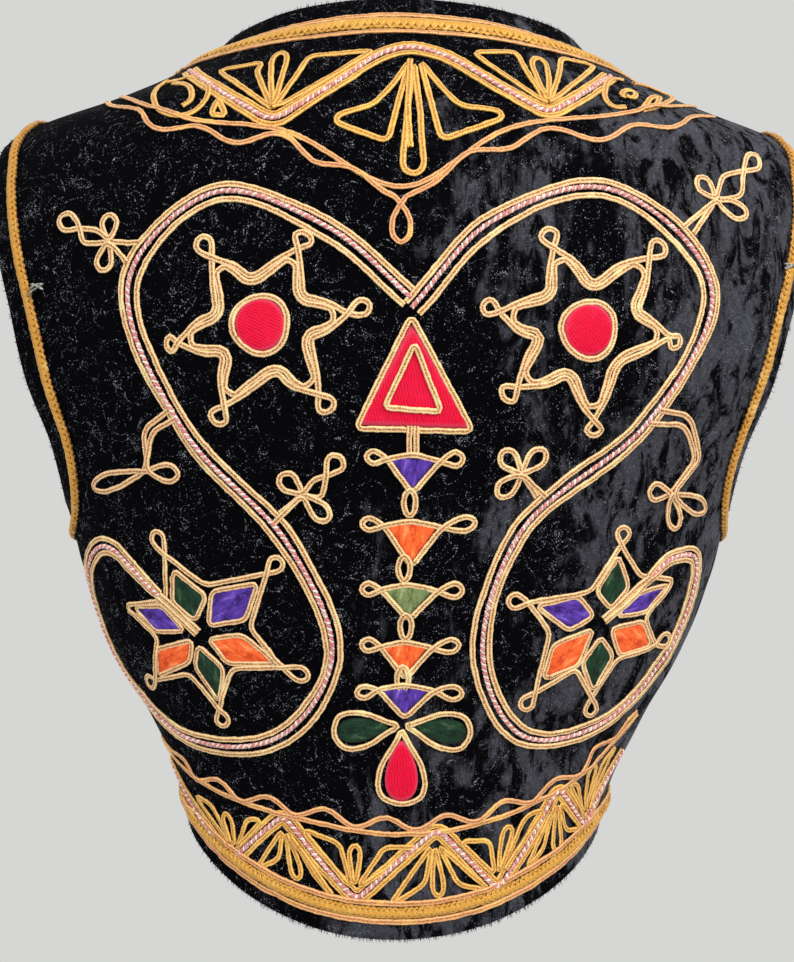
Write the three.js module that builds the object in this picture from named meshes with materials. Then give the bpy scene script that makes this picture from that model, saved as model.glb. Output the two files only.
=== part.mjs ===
// Embroidered folk vest: three velvet panels with braid, couched cord strips and applique patches.
// mm, +Z up. The front of the garment faces -Y, the wearer's left is +X.
// The origin is the middle of the line through the two neck points of the shoulder seams.
import * as THREE from 'three';

const WALL = 2.0;          // velvet with its backing
const SEAM_GAP = 0.3;      // between pieces at a seam
const LIFT = 0.6;          // air under what is sewn on
const BRAID = 1.8;         // thickness of the plaited braids
const CORD = 1.6;          // thickness of the couched cord bands
const PATCH = 0.7;         // thickness of the applique patches
const NECK_DROP = 4;       // the back neckline stands this much above the neck points
const FRONT_EDGE = 12;     // each front edge stops this far from the middle
const V_DEPTH = 190;       // the V neckline ends this far below the neck points
const ARMHOLE = { z: -139, half: 91, back: 50, front: 54 };
const HEM = { side: -377, back: 38, front: 25, round: 1.4 };

// The figure's sections from the neck down: half width, depth to the back and to the front,
// and how much the section thins towards the shoulder seam (1 is an ellipse).
const SECTION = [
  // z, half, back, front, thin
  [8, 76, 44, 40, 1.2],
  [0, 86, 50, 48, 1.3],
  [-10, 98, 56, 54, 1.5],
  [-21, 121, 64, 60, 1.6],
  [-33, 150, 71, 67, 1.6],
  [-41, 171, 76, 72, 1.5],
  [-48, 187, 80, 76, 1.4],
  [-57, 198, 85, 80, 1.25],
  [-78, 208, 91, 86, 1.1],
  [-103, 211, 94, 95, 1],
  [-138, 207, 95, 108, 1],
  [-172, 195, 92, 117, 1],
  [-203, 174, 87, 120, 1],
  [-228, 161, 82, 118, 1],
  [-258, 153, 78, 112, 1],
  [-293, 140, 71, 100, 1],
  [-328, 120, 64, 87, 1],
  [-363, 104, 60, 78, 1],
  [-393, 99, 61, 74, 1],
  [-425, 98, 63, 74, 1],
].reverse();

// ---- the cloth surface ----
function measure(z, col) {
  const S = SECTION, n = S.length;
  z = Math.min(Math.max(z, S[0][0]), S[n - 1][0]);
  let i = 0;
  while (i < n - 2 && z > S[i + 1][0]) i++;
  const slope = (k) => {
    if (k === 0) return (S[1][col] - S[0][col]) / (S[1][0] - S[0][0]);
    if (k === n - 1) return (S[k][col] - S[k - 1][col]) / (S[k][0] - S[k - 1][0]);
    const hs = S[k][0] - S[k - 1][0], hd = S[k + 1][0] - S[k][0];
    return (hs * hs * S[k + 1][col] + (hd * hd - hs * hs) * S[k][col] - hd * hd * S[k - 1][col]) / (hs * hd * (hd + hs));
  };
  const h = S[i + 1][0] - S[i][0], t = (z - S[i][0]) / h, t2 = t * t, t3 = t2 * t;
  return (2 * t3 - 3 * t2 + 1) * S[i][col] + (t3 - 2 * t2 + t) * h * slope(i)
    + (3 * t2 - 2 * t3) * S[i + 1][col] + (t3 - t2) * h * slope(i + 1);
}

// th is 0 at the wearer's left seam, pi/2 at centre back, pi at the right seam, negative in front.
function cloth(th, z) {
  const s = Math.sin(th), b = measure(z, s >= 0 ? 2 : 3);
  return new THREE.Vector3(measure(z, 1) * Math.cos(th), b * Math.sign(s) * Math.pow(Math.abs(s), measure(z, 4)), z);
}
function normalAt(th, z) {
  const u = cloth(th + 0.03, z).sub(cloth(th - 0.03, z)), v = cloth(th, z + 0.6).sub(cloth(th, z - 0.6));
  const n = u.cross(v).normalize();
  const p = cloth(th, z);
  if (n.x * p.x + n.y * p.y < 0) n.negate();
  return n;
}
const seamAngle = (y, z, col) => Math.asin(Math.min(1, Math.pow(Math.min(1, Math.abs(y) / measure(z, col)), 1 / measure(z, 4))));

// ---- places on the cloth: s mm round from centre back (plus is the wearer's left), at height z ----
const arcs = new Map();
function arcTable(z) {
  const key = Math.round(z * 4);
  if (!arcs.has(key)) {
    const t = [], s = [];
    let last = null, sum = 0;
    for (let i = 0; i <= 120; i++) {
      const th = Math.PI / 2 - (Math.PI * i) / 120, p = cloth(th, key / 4);
      if (last) sum += p.distanceTo(last);
      t.push(th); s.push(sum); last = p;
    }
    arcs.set(key, { t, s });
  }
  return arcs.get(key);
}
function angleOf(s, z) {
  const A = arcTable(z), q = Math.min(Math.abs(s), A.s[120]);
  let i = 0;
  while (i < 119 && A.s[i + 1] < q) i++;
  const th = A.t[i] + (A.t[i + 1] - A.t[i]) * (q - A.s[i]) / (A.s[i + 1] - A.s[i]);
  return s >= 0 ? th : Math.PI - th;
}
function arcOf(th, z) {
  let q = th, sign = 1;
  if (q > Math.PI / 2) { q = Math.PI - q; sign = -1; }
  const A = arcTable(z), f = (Math.PI / 2 - q) / Math.PI * 120, i = Math.min(119, Math.floor(f));
  return sign * (A.s[i] + (A.s[i + 1] - A.s[i]) * (f - i));
}
function place(s, z, h) {
  const th = angleOf(s, z);
  return cloth(th, z).addScaledVector(normalAt(th, z), h);
}
// moves from (s, z) by a mm along dir and b mm across it, both measured on the cloth
function shifted(s, z, ds, dz, a, b) {
  const S = place(s + 0.5, z, 0).sub(place(s - 0.5, z, 0)), Z = place(s, z + 0.5, 0).sub(place(s, z - 0.5, 0));
  const along = S.clone().multiplyScalar(ds).addScaledVector(Z, dz).normalize();
  const n = normalAt(angleOf(s, z), z), side = n.clone().cross(along);
  const d = along.multiplyScalar(a).addScaledVector(side, b);
  const ss = S.dot(S), zz = Z.dot(Z), sz = S.dot(Z), p = d.dot(S), q = d.dot(Z), det = ss * zz - sz * sz;
  return [s + (p * zz - q * sz) / det, z + (q * ss - p * sz) / det];
}

// ---- solids ----
function solid(name, faces, points, look) {
  const key = new Map(), ids = [], pos = [];
  points.forEach((p) => {
    const k = [p.x, p.y, p.z].map((c) => Math.round(c * 500)).join();
    if (!key.has(k)) { key.set(k, pos.length / 3); pos.push(p.x, p.y, p.z); }
    ids.push(key.get(k));
  });
  const index = [];
  for (const f of faces) {
    const [a, b, c] = f.map((i) => ids[i]);
    if (a !== b && b !== c && a !== c) index.push(a, b, c);
  }
  const g = new THREE.BufferGeometry();
  g.setAttribute('position', new THREE.Float32BufferAttribute(pos, 3));
  g.setIndex(index);
  g.computeVertexNormals();
  const m = new THREE.Mesh(g, new THREE.MeshStandardMaterial({ color: look.color, roughness: look.rough, metalness: look.metal ?? 0 }));
  m.name = name;
  return m;
}
// a wall between an outer and an inner grid of points; wrap joins the last column to the first
function wall(name, outer, inner, look, wrap = false) {
  const R = outer.length, C = outer[0].length, pts = [...outer.flat(), ...inner.flat()], F = [], N = R * C;
  const quad = (a, b, c, d) => { F.push([a, b, c], [a, c, d]); };
  const cols = wrap ? C : C - 1;
  for (let r = 0; r < R - 1; r++) for (let c = 0; c < cols; c++) {
    const a = r * C + c, b = r * C + (c + 1) % C, d = (r + 1) * C + c, e = (r + 1) * C + (c + 1) % C;
    quad(a, d, e, b);
    quad(N + a, N + b, N + e, N + d);
  }
  for (let c = 0; c < cols; c++) {
    const a = c, b = (c + 1) % C, d = (R - 1) * C + c, e = (R - 1) * C + (c + 1) % C;
    quad(a, b, N + b, N + a);
    quad(d, N + d, N + e, e);
  }
  if (!wrap) for (let r = 0; r < R - 1; r++) {
    const a = r * C, b = (r + 1) * C, d = r * C + C - 1, e = (r + 1) * C + C - 1;
    quad(a, N + a, N + b, b);
    quad(d, e, N + e, N + d);
  }
  const mesh = solid(name, F, pts, look);
  // turn it the right way out
  const p = mesh.geometry.attributes.position, ix = mesh.geometry.index.array;
  let vol = 0;
  const A = new THREE.Vector3(), B = new THREE.Vector3(), D = new THREE.Vector3();
  for (let i = 0; i < ix.length; i += 3) {
    A.fromBufferAttribute(p, ix[i]); B.fromBufferAttribute(p, ix[i + 1]); D.fromBufferAttribute(p, ix[i + 2]);
    vol += A.dot(B.cross(D)) / 6;
  }
  if (vol < 0) { for (let i = 0; i < ix.length; i += 3) { const t = ix[i]; ix[i] = ix[i + 1]; ix[i + 1] = t; } mesh.geometry.computeVertexNormals(); }
  return mesh;
}

const VELVET = { color: 0x0d0d12, rough: 0.95 };
const GOLD = { color: 0xc8933a, rough: 0.55, metal: 0.25 };
const PALE_GOLD = { color: 0xd8b274, rough: 0.6, metal: 0.2 };
const COLOURS = {
  red: { color: 0xd4083a, rough: 0.35 }, purple: { color: 0x4a2f94, rough: 0.85 }, orange: { color: 0xe2622c, rough: 0.85 },
  green: { color: 0x12301f, rough: 0.85 }, sage: { color: 0x73864f, rough: 0.85 },
};

// ---- heights of the rows that all three panels share ----
const shoulderRows = [0, -5, -10, -16, -22, -29, -36, -42];
const armholeRows = [];
for (let k = 0; k <= 180; k += 15) armholeRows.push(ARMHOLE.z + ARMHOLE.half * Math.cos(k * Math.PI / 180));
const sideRows = [-248, -267, -286, -305, -324, -343, -361];
const heights = [...shoulderRows, ...armholeRows, ...sideRows];
const LOWEST = sideRows[sideRows.length - 1];

function sideEdge(z, front) {
  const q = 1 - ((z - ARMHOLE.z) / ARMHOLE.half) ** 2;
  const y = Math.max(SEAM_GAP / 2, q > 0 ? (front ? ARMHOLE.front : ARMHOLE.back) * Math.sqrt(q) : 0);
  return seamAngle(y, z, front ? 3 : 2);
}
const hemZ = (th, front) => HEM.side - (front ? HEM.front : HEM.back) * Math.pow(Math.abs(Math.sin(th)), HEM.round);
const frontEdgeX = (z) => z > -V_DEPTH ? FRONT_EDGE + (86 - FRONT_EDGE) * Math.pow(1 + z / V_DEPTH, 0.95) : FRONT_EDGE;
const frontEdgeAngle = (z) => -Math.acos(frontEdgeX(Math.min(z, 0)) / Math.max(measure(z, 1), frontEdgeX(Math.min(z, 0))));

// a panel's rows of [angle, height]
function panelRows(cols, left, right, neck, hem) {
  const rows = [];
  const row = (z, zOf) => {
    const a = left(z), b = right(z), r = [];
    for (let c = 0; c <= cols; c++) { const th = a + (b - a) * c / cols; r.push([th, zOf ? zOf(th, c / cols) : z]); }
    return r;
  };
  if (neck) rows.push(row(0, neck));
  heights.forEach((z) => rows.push(row(z)));
  for (const f of [0.5, 1]) rows.push(row(LOWEST, (th) => LOWEST + (hem(th) - LOWEST) * f));
  return rows;
}
function panel(name, rows, seamSides) {
  const outer = [], inner = [];
  rows.forEach((row) => {
    const o = [], n = [];
    row.forEach(([th, z], c) => {
      const p = cloth(th, z), m = normalAt(th, z);
      const atSide = (c === 0 && seamSides[0]) || (c === row.length - 1 && seamSides[1]);
      if (atSide) { m.y = 0; m.normalize(); }
      o.push(p); n.push(p.clone().addScaledVector(m, -WALL));
    });
    outer.push(o); inner.push(n);
  });
  return wall(name, outer, inner, VELVET);
}

const vest = new THREE.Group();
vest.name = 'embroidered_folk_vest';

vest.add(panel('back_panel', panelRows(18,
  (z) => sideEdge(z, false), (z) => Math.PI - sideEdge(z, false),
  (th) => NECK_DROP * Math.sin(th) ** 2, (th) => hemZ(th, false)), [true, true]));
for (const side of [1, -1]) {
  const turn = (th) => side > 0 ? th : Math.PI - th;
  vest.add(panel(side > 0 ? 'front_panel_left' : 'front_panel_right', panelRows(9,
    (z) => turn(-sideEdge(z, true)), (z) => turn(Math.min(frontEdgeAngle(z), -sideEdge(z, true))),
    null, (th) => hemZ(th, true)), [true, false]));
}

// ---- paths on the cloth ----
function smooth(points, step, closed = false) {
  const line = new THREE.CatmullRomCurve3(points.map(([s, z]) => new THREE.Vector3(s, z, 0)), closed, 'centripetal');
  const n = Math.max(4, Math.round(line.getLength() / step)), out = [];
  for (let i = 0; i < (closed ? n : n + 1); i++) { const p = line.getPointAt(i / n); out.push([p.x, p.y]); }
  return out;
}
const direction = (path, i, closed) => {
  const n = path.length, a = path[closed ? (i + n - 1) % n : Math.max(0, i - 1)], b = path[closed ? (i + 1) % n : Math.min(n - 1, i + 1)];
  return [b[0] - a[0], b[1] - a[1]];
};
const beside = (path, by, closed = false) => path.map(([s, z], i) => shifted(s, z, ...direction(path, i, closed), 0, typeof by === 'function' ? by(i) : by));
function strip(name, path, width, thick, look, closed = false, lift = LIFT) {
  const low = [], high = [];
  path.forEach(([s, z], i) => {
    const d = direction(path, i, closed), lo = [], hi = [];
    for (const w of [-0.5, 0.5]) {
      const [ps, pz] = shifted(s, z, ...d, 0, w * width);
      lo.push(place(ps, pz, lift)); hi.push(place(ps, pz, lift + thick));
    }
    low.push(lo); high.push(hi);
  });
  if (closed) { low.push(low[0]); high.push(high[0]); return ring(name, low, high, look); }
  return wall(name, high, low, look);
}
// a closed strip: rows round the loop, the first row met again at the end
function ring(name, low, high, look) {
  const R = low.length - 1, outer = [], inner = [];
  for (let c = 0; c < low[0].length; c++) {
    outer.push([]); inner.push([]);
    for (let r = 0; r < R; r++) { outer[c].push(high[r][c]); inner[c].push(low[r][c]); }
  }
  return wall(name, outer, inner, look, true);
}
// a patch: a closed outline filled to its middle, in rings, so that it follows the cloth
function patch(name, outline, look, lift = LIFT, thick = PATCH) {
  const mid = [0, 1].map((k) => outline.reduce((t, p) => t + p[k], 0) / outline.length);
  const low = [], high = [];
  for (const f of [0.5, 1]) {
    const at = (h) => outline.map(([s, z]) => place(mid[0] + (s - mid[0]) * f, mid[1] + (z - mid[1]) * f, h));
    low.push(at(lift)); high.push(at(lift + thick));
  }
  // the hole in the middle is closed by its own centre point
  const R = low.length, C = outline.length, pts = [...high.flat(), ...low.flat(), place(...mid, lift + thick), place(...mid, lift)];
  const F = [], N = R * C, quad = (a, b, c, d) => { F.push([a, b, c], [a, c, d]); };
  for (let c = 0; c < C; c++) {
    const e = (c + 1) % C;
    for (let r = 0; r < R - 1; r++) {
      quad(r * C + c, (r + 1) * C + c, (r + 1) * C + e, r * C + e);
      quad(N + r * C + c, N + r * C + e, N + (r + 1) * C + e, N + (r + 1) * C + c);
    }
    F.push([2 * N, c, e], [2 * N + 1, N + e, N + c]);
    quad((R - 1) * C + c, N + (R - 1) * C + c, N + (R - 1) * C + e, (R - 1) * C + e);
  }
  const m = solid(name, F, pts, look), p = m.geometry.attributes.position, ix = m.geometry.index.array;
  let vol = 0;
  const v = [0, 1, 2].map(() => new THREE.Vector3());
  for (let i = 0; i < ix.length; i += 3) { v.forEach((w, k) => w.fromBufferAttribute(p, ix[i + k])); vol += v[0].dot(v[1].cross(v[2])); }
  if (vol < 0) { for (let i = 0; i < ix.length; i += 3) { const t = ix[i]; ix[i] = ix[i + 1]; ix[i + 1] = t; } m.geometry.computeVertexNormals(); }
  return m;
}
const polar = (c, angle, reach) => [c[0] + reach * Math.cos(angle * Math.PI / 180), c[1] + reach * Math.sin(angle * Math.PI / 180)];

// ---- braids along the edges ----
const neckEdge = [];
for (let z = HEM.side - HEM.front; z < -V_DEPTH; z += 12) neckEdge.push([frontEdgeAngle(z), z]);
for (let z = -V_DEPTH; z < -9; z += 10) neckEdge.push([frontEdgeAngle(z), z]);
neckEdge.push([frontEdgeAngle(-4), -4], [0, 0]);
const neckBack = [];
for (let k = 10; k < 90; k += 10) neckBack.push([k * Math.PI / 180, NECK_DROP * Math.sin(k * Math.PI / 180) ** 2]);
const halfNeck = [...neckEdge, ...neckBack].map(([th, z]) => [arcOf(th, z), z]);
const fullNeck = [...halfNeck, [0, NECK_DROP], ...halfNeck.slice().reverse().map(([s, z]) => [-s, z])];
vest.add(strip('neck_braid', smooth(beside(fullNeck, -19.5), 12), 13, BRAID, GOLD, false, 1.5));

for (const side of [1, -1]) {
  const loop = [];
  for (let k = 0; k < 360; k += 15) {
    const a = k * Math.PI / 180, z = ARMHOLE.z + ARMHOLE.half * Math.cos(a), y = Math.sin(a) * (Math.sin(a) >= 0 ? ARMHOLE.back : ARMHOLE.front);
    const th = Math.sign(y || 1) * seamAngle(y, z, y >= 0 ? 2 : 3);
    loop.push([side * arcOf(th, z), z]);
  }
  vest.add(strip(side > 0 ? 'armhole_braid_left' : 'armhole_braid_right', smooth(beside(loop, side > 0 ? (i) => 10 + 5 * Math.max(0, Math.sin(i * Math.PI / 12)) ** 0.7 : -10, true), 12, true), 4.5, BRAID, GOLD, true, 1.0));
}
const hemLine = [];
const hemFrontEnd = Math.acos(FRONT_EDGE / 98) * 180 / Math.PI;
for (let k = -hemFrontEnd; k < 90; k += 8) { const a = k * Math.PI / 180; hemLine.push([arcOf(a, hemZ(a, k < 0)), hemZ(a, k < 0)]); }
const fullHem = [...hemLine, [0, hemZ(Math.PI / 2, false)], ...hemLine.slice().reverse().map(([s, z]) => [-s, z])];
const hemBraidLine = beside(fullHem, 11.5);
vest.add(strip('hem_braid', smooth(hemBraidLine.slice(2, -2), 12), 9.5, BRAID, GOLD));

// ---- the heart scroll: one band of three cords each side, turned up into a loop at the flower ----
const SCROLL_LEFT = [[-2, -142], [30, -111], [78, -95], [116, -131], [92, -193], [46, -242], [27, -290], [50, -327], [100, -333], [145, -306], [162, -264],
  [142, -245], [108, -266]];
const SCROLL_RIGHT = [[-9, -142], [-38, -107], [-88, -91], [-135, -130], [-107, -188], [-52, -235], [-37, -290], [-57, -326], [-103, -321], [-142, -281], [-146, -248],
  [-129, -247], [-116, -256]];
vest.add(strip('scroll_left', smooth(SCROLL_LEFT, 10), 8.5, CORD, PALE_GOLD));
vest.add(strip('scroll_right', smooth(SCROLL_RIGHT, 10), 8.5, CORD, PALE_GOLD));

// ---- six-pointed stars: a satin circle in a band of two cords ----
const STARS = {
  // tips and the valleys after them, anticlockwise from the wearer's left: [angle, reach]
  left: { at: [58, -150], turns: [[55, 32], [80, 17], [116, 33], [148, 18], [174, 33], [194, 18.5], [230, 35], [248, 18.5], [293, 33], [320, 18], [350, 34], [18, 17]] },
  right: { at: [-79, -150], turns: [[65, 35], [92, 17.5], [130, 37], [158, 20.5], [186, 34], [226, 17], [263, 35], [295, 17.5], [321, 35], [350, 19], [10, 35], [40, 19]] },
};
for (const [side, star] of Object.entries(STARS)) {
  const outline = star.turns.map(([a, r], i) => polar(star.at, a, r + (i % 2 ? 1 : 0)));
  vest.add(strip(`star_${side}`, smooth(outline, 6, true), 4.4, CORD, PALE_GOLD, true));
  const circle = [];
  for (let k = 0; k < 360; k += 30) circle.push(polar(star.at, k, 10.5));
  vest.add(patch(`star_satin_${side}`, circle, COLOURS.red));
}

// ---- six-petal flowers of velvet patches ----
const FLOWERS = {
  // colour, then the tip, two shoulders and the inner end: [angle, reach]
  left: { at: [89, -282], petals: [
    ['green', [69, 28], [101, 17], [77, 7], [52, 18]],
    ['purple', [141, 35], [160, 23], [145, 8], [115, 20]],
    ['orange', [198, 37], [219, 19], [203, 7], [184, 21]],
    ['green', [254, 31], [274, 16], [266, 7], [237, 19]],
    ['orange', [318, 31], [336, 24], [315, 6], [295, 15]],
    ['purple', [16, 34], [28, 21], [8, 8], [2, 22]]] },
  right: { at: [-93, -274], petals: [
    ['green', [101, 27], [125, 18], [115, 7], [77, 14]],
    ['purple', [157, 36], [171, 24], [165, 8], [146, 17]],
    ['orange', [205, 30], [236, 19], [220, 7], [187, 21]],
    ['green', [275, 31], [292, 21], [277, 9], [254, 18]],
    ['orange', [317, 36], [333, 25], [322, 8], [302, 23]],
    ['purple', [12, 31], [35, 17], [20, 7], [350, 17]]] },
};
for (const [side, flower] of Object.entries(FLOWERS)) {
  flower.petals.forEach(([colour, ...corners], i) => {
    const pts = corners.map(([a, r]) => polar(flower.at, a, r)), outline = [];
    pts.forEach((p, k) => {
      const q = pts[(k + 1) % 4];
      for (const f of [0, 0.5]) outline.push([p[0] + (q[0] - p[0]) * f, p[1] + (q[1] - p[1]) * f]);
    });
    vest.add(patch(`petal_${side}_${i + 1}_${colour}`, outline, COLOURS[colour]));
  });
}

// ---- centre back: the satin triangle, five velvet triangles and the trefoil ----
function polygon(corners, per) {
  const out = [];
  corners.forEach((p, k) => { const q = corners[(k + 1) % corners.length]; for (let f = 0; f < per; f++) out.push([p[0] + (q[0] - p[0]) * f / per, p[1] + (q[1] - p[1]) * f / per]); });
  return out;
}
vest.add(patch('satin_triangle', polygon([[-5, -150], [17, -190], [-30, -191]], 5), COLOURS.red));
const CHAIN = [
  // height of the top edge, middle, half width, drop, colour
  [-204, -6, 10, 13, 'purple'],
  [-232, -6, 11, 16, 'orange'],
  [-259, -5, 11, 12, 'sage'],
  [-284, -4, 10, 13, 'orange'],
  [-303, -4, 11, 12, 'purple'],
];
CHAIN.forEach(([z, mid, half, drop, colour], i) => {
  vest.add(patch(`chain_${i + 1}_${colour}`, polygon([[mid + half, z], [mid, z - drop], [mid - half, z]], 2), COLOURS[colour]));
});
function drop(at, angle, length, width) {
  const out = [];
  for (let k = 0; k < 12; k++) {
    const a = k / 12 * 2 * Math.PI, along = length / 2 * (1 - Math.cos(a)), across = width / 2 * Math.sin(a) * (0.55 + 0.45 * along / length) * (k === 0 ? 0 : 1);
    const c = Math.cos(angle * Math.PI / 180), s = Math.sin(angle * Math.PI / 180);
    out.push([at[0] + along * c - across * s, at[1] + along * s + across * c]);
  }
  return out;
}
vest.add(patch('trefoil_left_green', drop([3, -321], -10, 21, 13), COLOURS.green));
vest.add(patch('trefoil_right_green', drop([-9, -321], 190, 21, 13), COLOURS.green));
vest.add(patch('trefoil_drop_red', drop([-3, -327], -90, 26, 17), COLOURS.red));

// ---- zigzag bands of three cords in the neck border and the hem border ----
const NECK_ZIGZAG = [[97, -33], [78, -49], [55, -63], [30, -43], [-4, -27], [-32, -39], [-60, -57], [-80, -42], [-97, -31]];
vest.add(strip('neck_zigzag', smooth(NECK_ZIGZAG, 8), 6.5, CORD, PALE_GOLD));

export default vest;
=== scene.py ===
"""Embroidered folk vest: black crushed velvet, gold braid edges, couched cord work and applique patches."""
import math

import bmesh
import bpy
import numpy as np
from mathutils import Matrix, Vector


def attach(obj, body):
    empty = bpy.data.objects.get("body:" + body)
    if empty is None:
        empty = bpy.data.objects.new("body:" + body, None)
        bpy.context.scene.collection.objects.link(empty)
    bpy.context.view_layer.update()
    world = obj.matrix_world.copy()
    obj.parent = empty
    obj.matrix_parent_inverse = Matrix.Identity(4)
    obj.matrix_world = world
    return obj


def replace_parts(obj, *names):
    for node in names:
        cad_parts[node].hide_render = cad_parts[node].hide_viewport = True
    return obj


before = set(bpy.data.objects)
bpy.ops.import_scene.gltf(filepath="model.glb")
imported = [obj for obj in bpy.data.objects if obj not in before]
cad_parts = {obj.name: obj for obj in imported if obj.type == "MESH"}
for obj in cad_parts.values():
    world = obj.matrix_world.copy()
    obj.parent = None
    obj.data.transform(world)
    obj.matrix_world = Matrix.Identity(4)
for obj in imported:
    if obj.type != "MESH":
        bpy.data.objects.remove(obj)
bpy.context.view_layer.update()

scene = bpy.context.scene

# ---------------------------------------------------------------- camera
# Close behind the back, level with the shoulder blades' lower edge, turned a little about its own axis.
camera_data = bpy.data.cameras.new("camera")
camera_data.sensor_width = 36.0
camera_data.lens = 42.92
camera_data.clip_start = 0.01
camera = bpy.data.objects.new("camera", camera_data)
scene.collection.objects.link(camera)
camera.matrix_world = (Matrix.Translation((0.0005, 0.565, -0.214)) @ Matrix.Rotation(math.pi, 4, "Z")
                       @ Matrix.Rotation(math.pi / 2, 4, "X") @ Matrix.Rotation(math.radians(0.7), 4, "Z"))
scene.camera = camera
scene.view_settings.view_transform = "Standard"

# ---------------------------------------------------------------- room and light
# Pale studio: a wide floor well below the hem, an even pale world, a large soft light to the viewer's right
# and a weaker one to the left.
world = bpy.data.worlds.new("studio")
scene.world = world
world.use_nodes = True
world.node_tree.nodes["Background"].inputs[0].default_value = (0.86, 0.87, 0.85, 1)
world.node_tree.nodes["Background"].inputs[1].default_value = 0.78


def area_light(name, place, aim, size, power, colour):
    data = bpy.data.lights.new(name, "AREA")
    data.shape, data.size, data.size_y, data.energy, data.color = "RECTANGLE", size[0], size[1], power, colour
    o = bpy.data.objects.new(name, data)
    scene.collection.objects.link(o)
    o.location = place
    o.rotation_euler = (Vector(aim) - Vector(place)).to_track_quat("-Z", "Y").to_euler()


area_light("key", (-0.95, 1.15, 0.75), (0, 0.05, -0.2), (0.6, 0.6), 27, (1, 0.98, 0.94))
area_light("fill", (1.1, 1.2, 0.2), (0, 0.05, -0.2), (0.6, 0.8), 10, (0.96, 0.98, 1))
area_light("front_fill", (0.2, -1.6, 0.6), (0, 0, -0.2), (1.2, 1.2), 12, (1, 1, 1))

floor_mesh = bpy.data.meshes.new("floor")
floor_mesh.from_pydata([(x, y, -1.25) for x, y in ((-4, -4), (4, -4), (4, 4), (-4, 4))], [], [(0, 1, 2, 3)])
floor = bpy.data.objects.new("floor", floor_mesh)
scene.collection.objects.link(floor)


# ---------------------------------------------------------------- the cloth's form
# The velvet follows rings round the body, in millimetres: half width, depth to the back and to the front,
# and how much a ring thins towards the shoulder seam. The armhole, neck and hem cut the rings.
SECTION = np.array([
    # z, half, back, front, thin
    (-425, 98, 63, 74, 1),
    (-393, 99, 61, 74, 1),
    (-363, 104, 60, 78, 1),
    (-328, 120, 64, 87, 1),
    (-293, 140, 71, 100, 1),
    (-258, 153, 78, 112, 1),
    (-228, 161, 82, 118, 1),
    (-203, 174, 87, 120, 1),
    (-172, 195, 92, 117, 1),
    (-138, 207, 95, 108, 1),
    (-103, 211, 94, 95, 1),
    (-78, 208, 91, 86, 1.1),
    (-57, 198, 85, 80, 1.25),
    (-48, 187, 80, 76, 1.4),
    (-41, 171, 76, 72, 1.5),
    (-33, 150, 71, 67, 1.6),
    (-21, 121, 64, 60, 1.6),
    (-10, 98, 56, 54, 1.5),
    (0, 86, 50, 48, 1.3),
    (8, 76, 44, 40, 1.2),
], float)
ARM_Z, ARM_HALF, ARM_BACK, ARM_FRONT = -139, 91, 50, 54
NECK_DROP, NECK_HALF, FRONT_EDGE, V_DEPTH = 4, 86, 12, 190
HEM_SIDE, HEM_BACK, HEM_FRONT, HEM_ROUND = -377, 38, 25, 1.4
WALL, SEAM_GAP = 2.0, 0.3


def measure(z, column):
    zs, y = SECTION[:, 0], SECTION[:, column]
    m = np.gradient(y, zs)
    z = np.clip(z, zs[0], zs[-1])
    i = np.clip(np.searchsorted(zs, z) - 1, 0, len(zs) - 2)
    h = zs[i + 1] - zs[i]
    t = (z - zs[i]) / h
    return ((2 * t**3 - 3 * t**2 + 1) * y[i] + (t**3 - 2 * t**2 + t) * h * m[i]
            + (3 * t**2 - 2 * t**3) * y[i + 1] + (t**3 - t**2) * h * m[i + 1])


def cloth(th, z):
    th, z = np.broadcast_arrays(np.asarray(th, float), np.asarray(z, float))
    s = np.sin(th)
    depth = np.where(s >= 0, measure(z, 2), measure(z, 3))
    return np.stack([measure(z, 1) * np.cos(th), depth * np.sign(s) * np.abs(s) ** measure(z, 4), z], -1)


def normal_at(th, z):
    n = np.cross(cloth(th + 0.03, z) - cloth(th - 0.03, z), cloth(th, z + 0.6) - cloth(th, z - 0.6))
    n /= np.linalg.norm(n, axis=-1, keepdims=True)
    p = cloth(th, z)
    return n * np.where(n[..., :1] * p[..., :1] + n[..., 1:2] * p[..., 1:2] < 0, -1, 1)


# Places are s mm round from centre back (plus is the wearer's left) at height z; the grid turns s into an
# angle.
GRID_Z, GRID_S = np.arange(-425, 9, 1.0), np.arange(0, 580, 1.0)
STEPS = 240
turns = np.pi / 2 - np.pi * np.linspace(0, 1, STEPS + 1)
gaps = np.linalg.norm(np.diff(cloth(turns[None, :], GRID_Z[:, None]), axis=1), axis=-1)
ARC = np.concatenate([np.zeros((len(GRID_Z), 1)), np.cumsum(gaps, axis=1)], axis=1)
ANGLE = np.array([np.interp(GRID_S, arc, turns) for arc in ARC])


def angle_of(s, z):
    i = np.clip((np.asarray(z, float) - GRID_Z[0]), 0, len(GRID_Z) - 1.001)
    j = np.clip(np.abs(s), 0, len(GRID_S) - 1.001)
    i0, j0 = i.astype(int), np.asarray(j).astype(int)
    a, b = i - i0, j - j0
    near = ANGLE[i0, j0] * (1 - a) + ANGLE[i0 + 1, j0] * a
    far = ANGLE[i0, j0 + 1] * (1 - a) + ANGLE[i0 + 1, j0 + 1] * a
    th = near * (1 - b) + far * b
    return np.where(np.asarray(s) >= 0, th, np.pi - th)


def arc_of(th, z):
    th = np.asarray(th, float)
    left = th <= np.pi / 2
    q = np.where(left, th, np.pi - th)
    i = np.clip(np.round(np.asarray(z, float) - GRID_Z[0]).astype(int), 0, len(GRID_Z) - 1)
    f = (np.pi / 2 - q) / np.pi * STEPS
    k = np.clip(f.astype(int), 0, STEPS - 1)
    return np.where(left, 1, -1) * (ARC[i, k] + (ARC[i, k + 1] - ARC[i, k]) * (f - k))


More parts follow.
